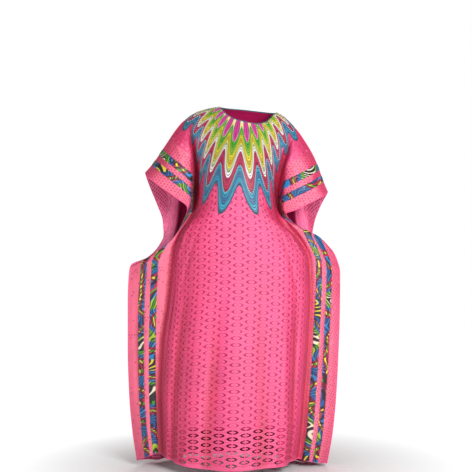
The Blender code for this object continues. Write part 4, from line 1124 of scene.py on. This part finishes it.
def lace_sheet(panel, look, rise):
    """The lace: eye cells in staggered columns over the body, plain netted cloth towards
    the side edges, and the cells' borders joined where flat points meet."""
    parts = [eyes(panel, OPEN_CORE, 0, OPEN_ROWS), eyes(panel, BODY_CORE, OPEN_ROWS, None)]
    step_v = EYE_PITCH_V / 4
    sixths = np.arange(-3, 4) * EYE_PITCH_U / 6
    for u, lowest in eye_columns():
        foot = lowest + EYE_PITCH_V / 2
        head = (foot - EYE_PITCH_V) % EYE_PITCH_V
        low = np.append(np.arange(foot, LENGTH - 1e-6, step_v), LENGTH)
        high = np.append(0.0, np.arange(head % step_v, head + 1e-6, step_v))
        for vs in (low, high):
            flat, (patch,) = plain_patch(u + sixths, vs, 0.45, 0.0)
            above = flat[:, 1] < neck_depth(panel, flat[:, 0], LACE_NECK_MARGIN) + 1e-9
            in_neck = (np.abs(flat[:, 0] - NECK_CENTRE_U) < NECK_HALF_WIDTH + LACE_NECK_MARGIN) & above
            parts.append((flat, [patch[~in_neck[patch].any(axis=1)]]))
    start = (LENGTH - EYE_LOWEST) % step_v
    wing_rows = np.concatenate([[0.0], np.arange(start, LENGTH - 1e-6, step_v), [LENGTH]])
    for side in (-1, 1):
        parts.append(plain_patch(side * np.linspace(WING_STARTS, HALF_WIDTH, 33), wing_rows, 0.6, 1.0))
    flat, faces = joined(parts)
    key = np.round(flat[:, :2] * 2e4).astype(np.int64)
    _, kept, renamed = np.unique(key, axis=0, return_index=True, return_inverse=True)
    u, v, lift, relief, net = flat[kept].T
    faces = [turned_out(renamed.ravel()[f], u, v, panel) for f in faces]
    points = draped(panel).lay(u, v, LACE_HEIGHT + lift * rise)
    obj = make_mesh("lace_" + panel, points, faces, look, {"flat": np.stack([u, -v], axis=-1)},
                    # This attribute carries where painted shade is laid into the folds.
                    {"relief": relief, "net": net, "fold_shade_mask": draped(panel).depth(u, v)})
    belongs(obj, "lace", panel + "_panel")
    return obj


def yoke_sheet(panel, look):
    """The star yoke: rays from the neck's edge to the toothed outline, crossed by bands. A
    small ridge follows each main line between bands, and the outline is turned down."""
    angle = np.linspace(-math.pi / 2, math.pi / 2, STAR_TEETH * 16 + 1)
    start, _ = star_neck(panel, angle, YOKE_NECK_MARGIN)
    share = np.append(np.linspace(0.0, 0.996, 60), 1.0)[:, None]
    t = start + (1 - start) * share
    angle = np.broadcast_to(angle, t.shape)
    u, v = star_point(panel, angle, t)
    height = np.full_like(t, YOKE_HEIGHT)
    for band in RIDGE_BANDS:
        height += RIDGE_HEIGHT * np.exp(-((t - band) / RIDGE_SPREAD) ** 2)
    height[-1] = LACE_HEIGHT
    tooth = (angle / math.pi + 0.5) * STAR_TEETH
    star = np.stack([tooth, t], axis=-1)
    obj = add_grid("star_yoke_" + panel, panel, u, v, height, look, star=star)
    belongs(obj, "yoke_print", "yoke_" + panel)
    return obj


def beside_strip(panel, centre, v, local):
    """The flat u at a worn distance from a strip's middle line: the distance over how much
    the cloth is drawn in there, so that a strip keeps its width."""
    edges = [draped(panel).lay(np.full_like(v, centre + reach), v, 0.0)
             for reach in (-STRIP_WIDTH / 2, STRIP_WIDTH / 2)]
    drawn_in = np.linalg.norm(edges[1] - edges[0], axis=-1) / STRIP_WIDTH
    return centre + local / np.clip(drawn_in, *STRIP_DRAWN_IN)


def strip_sheet(panel, side, place, look, order):
    """One print strip: seven columns, the outermost turned down onto the lace and the
    middle a little proud, from the shoulder fold to the hem."""
    centre = side * (HALF_WIDTH - STRIP_INSETS[place])
    across = np.array((-1.0, -0.96, -0.6, 0.0, 0.6, 0.96, 1.0))
    proud = STRIP_HEIGHT + np.array((0.0, 0.0002, 0.0003, 0.0002, 0.0))
    heights = np.concatenate([[LACE_HEIGHT], proud, [LACE_HEIGHT]])
    v, local = np.meshgrid(np.linspace(0.0, LENGTH, 361), across * STRIP_WIDTH / 2, indexing="ij")
    u = beside_strip(panel, centre, v, local)
    name = "_".join(("strip", panel, place, "left" if side > 0 else "right"))
    flat = np.stack([local + PRINT_SHIFT[0] * order, -v + PRINT_SHIFT[1] * order], axis=-1)
    obj = add_grid("print_" + name, panel, u, v, np.broadcast_to(heights, v.shape), look, flat=flat)
    belongs(obj, "trim_print", name)
    return obj


def stitch_shape(length):
    """One stitch: an eight-sided spindle along its first axis."""
    points = np.array(((1, 0, 0), (0, 1, 0), (-1, 0, 0), (0, -1, 0), (0, 0, 1), (0, 0, -0.4)), dtype=float)
    faces = np.array(((0, 1, 4), (1, 2, 4), (2, 3, 4), (3, 0, 4),
                      (1, 0, 5), (2, 1, 5), (3, 2, 5), (0, 3, 5)))
    return points * (length / 2, *STITCH_SIZE), [faces]


def stone_shape(radius):
    """One stone: a six-sided foot, a wide girdle and a small flat table."""
    turn = np.arange(6) * math.pi / 3
    rings = [radius * np.column_stack([reach * np.cos(turn), reach * np.sin(turn), np.full(6, height)])
             for reach, height in ((0.85, -0.2), (1.0, 0.25), (0.55, 0.75))]
    here = np.arange(6)
    after = (here + 1) % 6
    sides = [np.stack([here + a, after + a, after + a + 6, here + a + 6], axis=-1) for a in (0, 6)]
    caps = np.stack([here[::-1], here + 12])
    return np.concatenate(rings), [np.concatenate(sides), caps]


def stitching(panel, look, pitch):
    """All sewing of a panel as one piece: both edges of each strip, the star's outline and
    a row inside it, the neck, the hem and the side edges."""
    v = np.linspace(STITCH_ENDS, LENGTH - STITCH_ENDS, 700)
    paths = []
    for side in (-1, 1):
        for inset in STRIP_INSETS.values():
            for edge in (-1, 1):
                local = edge * (STRIP_WIDTH / 2 - STRIP_STITCH_INSET)
                u = beside_strip(panel, side * (HALF_WIDTH - inset), v, local)
                paths.append((u, v, STRIP_HEIGHT + SEWN_OVER))
        paths.append((np.full_like(v, side * (HALF_WIDTH - SIDE_STITCH_INSET)), v, LACE_HEIGHT + SEWN_OVER))
    u = np.linspace(-HALF_WIDTH + STITCH_ENDS, HALF_WIDTH - STITCH_ENDS, 500)
    for rise in HEM_STITCH_RISES:
        paths.append((u, np.full_like(u, LENGTH - rise), LACE_HEIGHT + SEWN_OVER))
    for t in STITCHED_BANDS:
        paths.append((*star_line(panel, t, 24)[:2], YOKE_HEIGHT + SEWN_OVER))
    around = np.linspace(0.01, math.pi - 0.01, 200)
    paths.append((*neck_line(panel, around, NECK_STITCH_MARGIN), YOKE_HEIGHT + SEWN_OVER))
    parts = set_along(panel, paths, pitch, *stitch_shape(pitch * STITCH_SHARE))
    return add_sewing("stitches_" + panel, parts, look, "lace")


def stones(panel, look, radius, pitch):
    """Rows of stones along the star's main lines."""
    lines = []
    for t in STONE_BANDS:
        u, v, angle = star_line(panel, t, 24)
        seen = np.hypot(u, v) > star_neck(panel, angle, NECK_STITCH_MARGIN)[1]
        lines.append((u[seen], v[seen], YOKE_HEIGHT + STONE_RISE))
    parts = set_along(panel, lines, pitch, *stone_shape(radius))
    return add_sewing("stones_" + panel, parts, look, "yoke_print", smooth=False)


def cord_on(panel, u, v, height, half_width, half_height):
    """A cord laid along flat points of a panel."""
    place, _, across, out = frames_along(panel, u, v, height)
    return tube(place, across, out, half_width, half_height)


def edge_cords(panel, look):
    """The rolled hem and the rolled side edges of a panel."""
    v = np.linspace(0.0, LENGTH, 289)
    u = np.linspace(-HALF_WIDTH, HALF_WIDTH, 209)
    parts = [cord_on(panel, u, np.full_like(u, LENGTH - EDGE_INSET), EDGE_CORD_HEIGHT, *HEM_CORD)]
    for side in (-1, 1):
        edge = np.full_like(v, side * (HALF_WIDTH - EDGE_INSET))
        parts.append(cord_on(panel, edge, v, EDGE_CORD_HEIGHT, *SIDE_CORD))
    return add_sewing("rolled_edges_" + panel, parts, look, "lace")


def star_cords(panel, look):
    """The piped outline of the star and the binding of the neck."""
    star = star_line(panel, STAR_CORD_BAND, 20)[:2]
    neck = neck_line(panel, np.linspace(0.0, math.pi, 121), YOKE_NECK_MARGIN)
    parts = [cord_on(panel, *star, STAR_CORD_HEIGHT, *STAR_CORD),
             cord_on(panel, *neck, NECK_CORD_HEIGHT, *NECK_CORD)]
    return add_sewing("piping_" + panel, parts, look, "yoke_print")


def closing_seams(look):
    """The seams that join front and back: along each side edge below the hands, and along
    the shoulder fold on both sides of the neck. Each is a cord as wide as the gap it closes."""
    parts = []
    v = np.linspace(SIDE_SEAM_STARTS, LENGTH - EDGE_INSET, 165)
    for side in (-1, 1):
        u = np.full_like(v, side * (HALF_WIDTH - SIDE_SEAM_INSET))
        parts.append(bridge(u, v, SIDE_SEAM_HEIGHT, SIDE_SEAM_HALF))
    for low, high in ((-HALF_WIDTH, NECK_ENDS[0]), (NECK_ENDS[1], HALF_WIDTH)):
        u = np.linspace(low, high, 90)
        parts.append(bridge(u, np.zeros_like(u), LACE_HEIGHT, SHOULDER_SEAM_HALF))
    return add_sewing("closing_seams", parts, look, "lace")


def bridge(u, v, height, half_height):
    """A flattened cord midway between front and back along flat points laid on both,
    reaching just past each."""
    one, other = (draped(panel).lay(u, v, height) for panel in PANELS)
    middle = (one + other) / 2
    across = one - other
    gap = np.linalg.norm(across, axis=-1, keepdims=True)
    along = unit(np.gradient(middle, axis=0))
    across = across / np.maximum(gap, 1e-6)
    across = unit(across - along * (across * along).sum(axis=-1, keepdims=True))
    return tube(middle, across, np.cross(along, across), gap[:, None] / 2 + SEAM_OVERLAP, half_height)


# ---------------------------------------------------------------- settings and operators
def colour_property(name, description, rgb):
    return FloatVectorProperty(name=name, description=description, subtype="COLOR", size=4,
                               min=0.0, max=1.0, default=linear(*rgb))


def length_property(name, description, default, low, high):
    return FloatProperty(name=name, description=description, default=default, min=low, max=high,
                         subtype="DISTANCE", unit="LENGTH")


class BoubouSettings(bpy.types.PropertyGroup):
    """Sizes and colours of the robe that a user would change."""

    cord_rise: length_property("Cord Rise", "How far the lace's cords stand up", CORD_RISE, 0.0, 0.003)
    stitch_pitch: length_property("Stitch Pitch", "Distance from stitch to stitch", 0.0050, 0.002, 0.02)
    stone_radius: length_property("Stone Radius", "Half the width of a stone", 0.0016, 0.0005, 0.004)
    stone_pitch: length_property("Stone Pitch", "Distance from stone to stone", 0.0078, 0.004, 0.05)
    # Lace Light and Lace Shade hold the lace's own pink with painted light and painted shade in it.
    lace_light: colour_property("Lace Light", "Raised cords of the lace", (240, 74, 140))
    lace_shade: colour_property("Lace Shade", "Ground of the lace", (212, 26, 86))
    # The colour of painted shade deep in the lace's folds.
    fold_shade_colour: colour_property("Folds", "The lace deep in its folds", (198, 8, 60))
    wing_colour: colour_property("Wing", "Plain lace cloth towards the side edges", (244, 108, 138))
    # The wrong side's pink, painted lighter as painted light against the shade it lies in.
    lit_wrong_side_colour: colour_property("Wrong Side", "The wrong side of the plain lace cloth", (252, 130, 176))
    # The lining's own crimson, darkened as painted shade for the gaps of the lace.
    shaded_lining_colour: colour_property("Underlining", "Cloth behind the lace", (180, 8, 84))
    edge_colour: colour_property("Edges", "Rolled edges and seams", (240, 84, 140))
    piping_colour: colour_property("Piping", "Outline of the star", (18, 84, 104))
    thread_colour: colour_property("Thread", "Sewing thread", (250, 150, 190))


def settings_of(context):
    return context.scene.boubou


class OBJECT_OT_boubou_underlining(bpy.types.Operator):
    """Adds the front and back underlining"""

    bl_idname = "object.boubou_underlining"
    bl_label = "Add Underlining"

    def execute(self, context):
        look = lining_look(settings_of(context))
        for panel in PANELS:
            lining_sheet(panel, look)
        return {"FINISHED"}


class OBJECT_OT_boubou_lace(bpy.types.Operator):
    """Adds the front and back lace"""

    bl_idname = "object.boubou_lace"
    bl_label = "Add Lace"

    def execute(self, context):
        settings = settings_of(context)
        look = lace_look(settings)
        for panel in PANELS:
            lace_sheet(panel, look, settings.cord_rise)
        return {"FINISHED"}


class OBJECT_OT_boubou_yoke(bpy.types.Operator):
    """Adds the star yoke, front and back"""

    bl_idname = "object.boubou_yoke"
    bl_label = "Add Star Yoke"

    def execute(self, context):
        look = yoke_look()
        for panel in PANELS:
            yoke_sheet(panel, look)
        return {"FINISHED"}


class OBJECT_OT_boubou_strips(bpy.types.Operator):
    """Adds the eight print strips"""

    bl_idname = "object.boubou_strips"
    bl_label = "Add Print Strips"

    def execute(self, context):
        look = print_look()
        places = [(panel, side, place) for panel in PANELS for side in (-1, 1) for place in STRIP_INSETS]
        for order, (panel, side, place) in enumerate(places):
            strip_sheet(panel, side, place, look, order)
        return {"FINISHED"}


class OBJECT_OT_boubou_stitching(bpy.types.Operator):
    """Adds all rows of stitching"""

    bl_idname = "object.boubou_stitching"
    bl_label = "Add Stitching"

    def execute(self, context):
        settings = settings_of(context)
        look = thread_look("sewing_thread", settings.thread_colour)
        for panel in PANELS:
            stitching(panel, look, settings.stitch_pitch)
        return {"FINISHED"}


class OBJECT_OT_boubou_stones(bpy.types.Operator):
    """Adds the stones on the star"""

    bl_idname = "object.boubou_stones"
    bl_label = "Add Stones"

    def execute(self, context):
        settings = settings_of(context)
        look = stone_look()
        for panel in PANELS:
            stones(panel, look, settings.stone_radius, settings.stone_pitch)
        return {"FINISHED"}


class OBJECT_OT_boubou_edges(bpy.types.Operator):
    """Adds the rolled edges, the piping and the closing seams"""

    bl_idname = "object.boubou_edges"
    bl_label = "Add Edges"

    def execute(self, context):
        settings = settings_of(context)
        rolled = thread_look("rolled_edge", settings.edge_colour)
        piped = thread_look("star_piping", settings.piping_colour, 0.35)
        for panel in PANELS:
            edge_cords(panel, rolled)
            star_cords(panel, piped)
        closing_seams(rolled)
        return {"FINISHED"}


class SCENE_OT_boubou_stage(bpy.types.Operator):
    """Adds the floor, the lights and the camera"""

    bl_idname = "scene.boubou_stage"
    bl_label = "Add Stage"

    def execute(self, context):
        scene = context.scene
        scene.view_settings.view_transform = "Standard"
        add_floor()
        world = bpy.data.worlds.new("studio")
        world.use_nodes = True
        tree = Tree(world.node_tree)
        seen = tree.node("ShaderNodeLightPath").outputs["Is Camera Ray"]
        strength = tree.math("MULTIPLY_ADD", seen, 1.0 - STUDIO_AIR, STUDIO_AIR)
        tree.fill(world.node_tree.nodes["Background"], {"Color": (1.0,) * 4, "Strength": strength})
        scene.world = world
        for name, place, size, power in STUDIO_LIGHTS:
            add_light(name, place, size, power)
        camera = bpy.data.cameras.new("view")
        camera.lens = CAMERA_LENS
        camera.sensor_width = SENSOR_WIDTH
        camera.dof.use_dof = False
        eye = bpy.data.objects.new("view", camera)
        eye.location = CAMERA_PLACE
        eye.rotation_euler = (math.pi / 2, 0.0, 0.0)
        scene.collection.objects.link(eye)
        scene.camera = eye
        return {"FINISHED"}


def add_floor():
    """A wide pale floor just under the hem."""
    corners = np.array([(x * FLOOR_REACH, y * FLOOR_REACH, FLOOR_LEVEL)
                        for x, y in ((-1, -1), (1, -1), (1, 1), (-1, 1))])
    tree = new_look("pale_floor")
    place = tree.object_place()
    grain = tree.noise(place, 30.0, 4.0)
    colour = tree.ramp(grain, ((0.3, (0.90, 0.90, 0.90, 1.0)), (0.7, (0.93, 0.93, 0.93, 1.0))))
    haze = tree.span(tree.reach(*tree.split(place)[:2]), HAZE_FROM, HAZE_TO)
    colour = tree.mix(haze, colour, (0.0, 0.0, 0.0, 1.0))
    look = finish_look(tree, colour, grain, 0.8, 0.0005)
    tree.fill(tree.tree.nodes["Principled BSDF"], {"Emission Color": (1.0,) * 4, "Emission Strength": haze})
    make_mesh("floor", corners, [np.array(((0, 1, 2, 3),))], look, smooth=False)


def add_light(name, place, size, power):
    """A square soft light that faces the robe's middle."""
    lamp = bpy.data.lights.new(name, "AREA")
    lamp.size = size
    lamp.energy = power
    obj = bpy.data.objects.new(name, lamp)
    obj.location = place
    away = np.array(place) - np.array(LIGHTS_AIM_AT)
    obj.rotation_euler = (math.acos(away[2] / np.linalg.norm(away)), 0.0, math.atan2(away[0], -away[1]))
    bpy.context.scene.collection.objects.link(obj)


class VIEW3D_PT_boubou(bpy.types.Panel):
    """The robe's sizes, colours and pieces"""

    bl_label = "Grand Boubou"
    bl_idname = "VIEW3D_PT_boubou"
    bl_space_type = "VIEW_3D"
    bl_region_type = "UI"
    bl_category = "Boubou"

    def draw(self, context):
        for key in BoubouSettings.__annotations__:
            self.layout.prop(settings_of(context), key)
        for operator in OPERATORS:
            self.layout.operator(operator.bl_idname)


OPERATORS = (
    OBJECT_OT_boubou_underlining,
    OBJECT_OT_boubou_lace,
    OBJECT_OT_boubou_yoke,
    OBJECT_OT_boubou_strips,
    OBJECT_OT_boubou_stitching,
    OBJECT_OT_boubou_stones,
    OBJECT_OT_boubou_edges,
    SCENE_OT_boubou_stage,
)


def register():
    for kind in (BoubouSettings, *OPERATORS, VIEW3D_PT_boubou):
        bpy.utils.register_class(kind)
    bpy.types.Scene.boubou = PointerProperty(type=BoubouSettings)


def unregister():
    del bpy.types.Scene.boubou
    for kind in reversed((BoubouSettings, *OPERATORS, VIEW3D_PT_boubou)):
        bpy.utils.unregister_class(kind)


def main():
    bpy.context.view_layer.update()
    register()
    bpy.ops.object.boubou_underlining()
    bpy.ops.object.boubou_lace()
    bpy.ops.object.boubou_yoke()
    bpy.ops.object.boubou_strips()
    bpy.ops.object.boubou_stitching()
    bpy.ops.object.boubou_stones()
    bpy.ops.object.boubou_edges()
    bpy.ops.scene.boubou_stage()


if __name__ == "__main__":
    main()
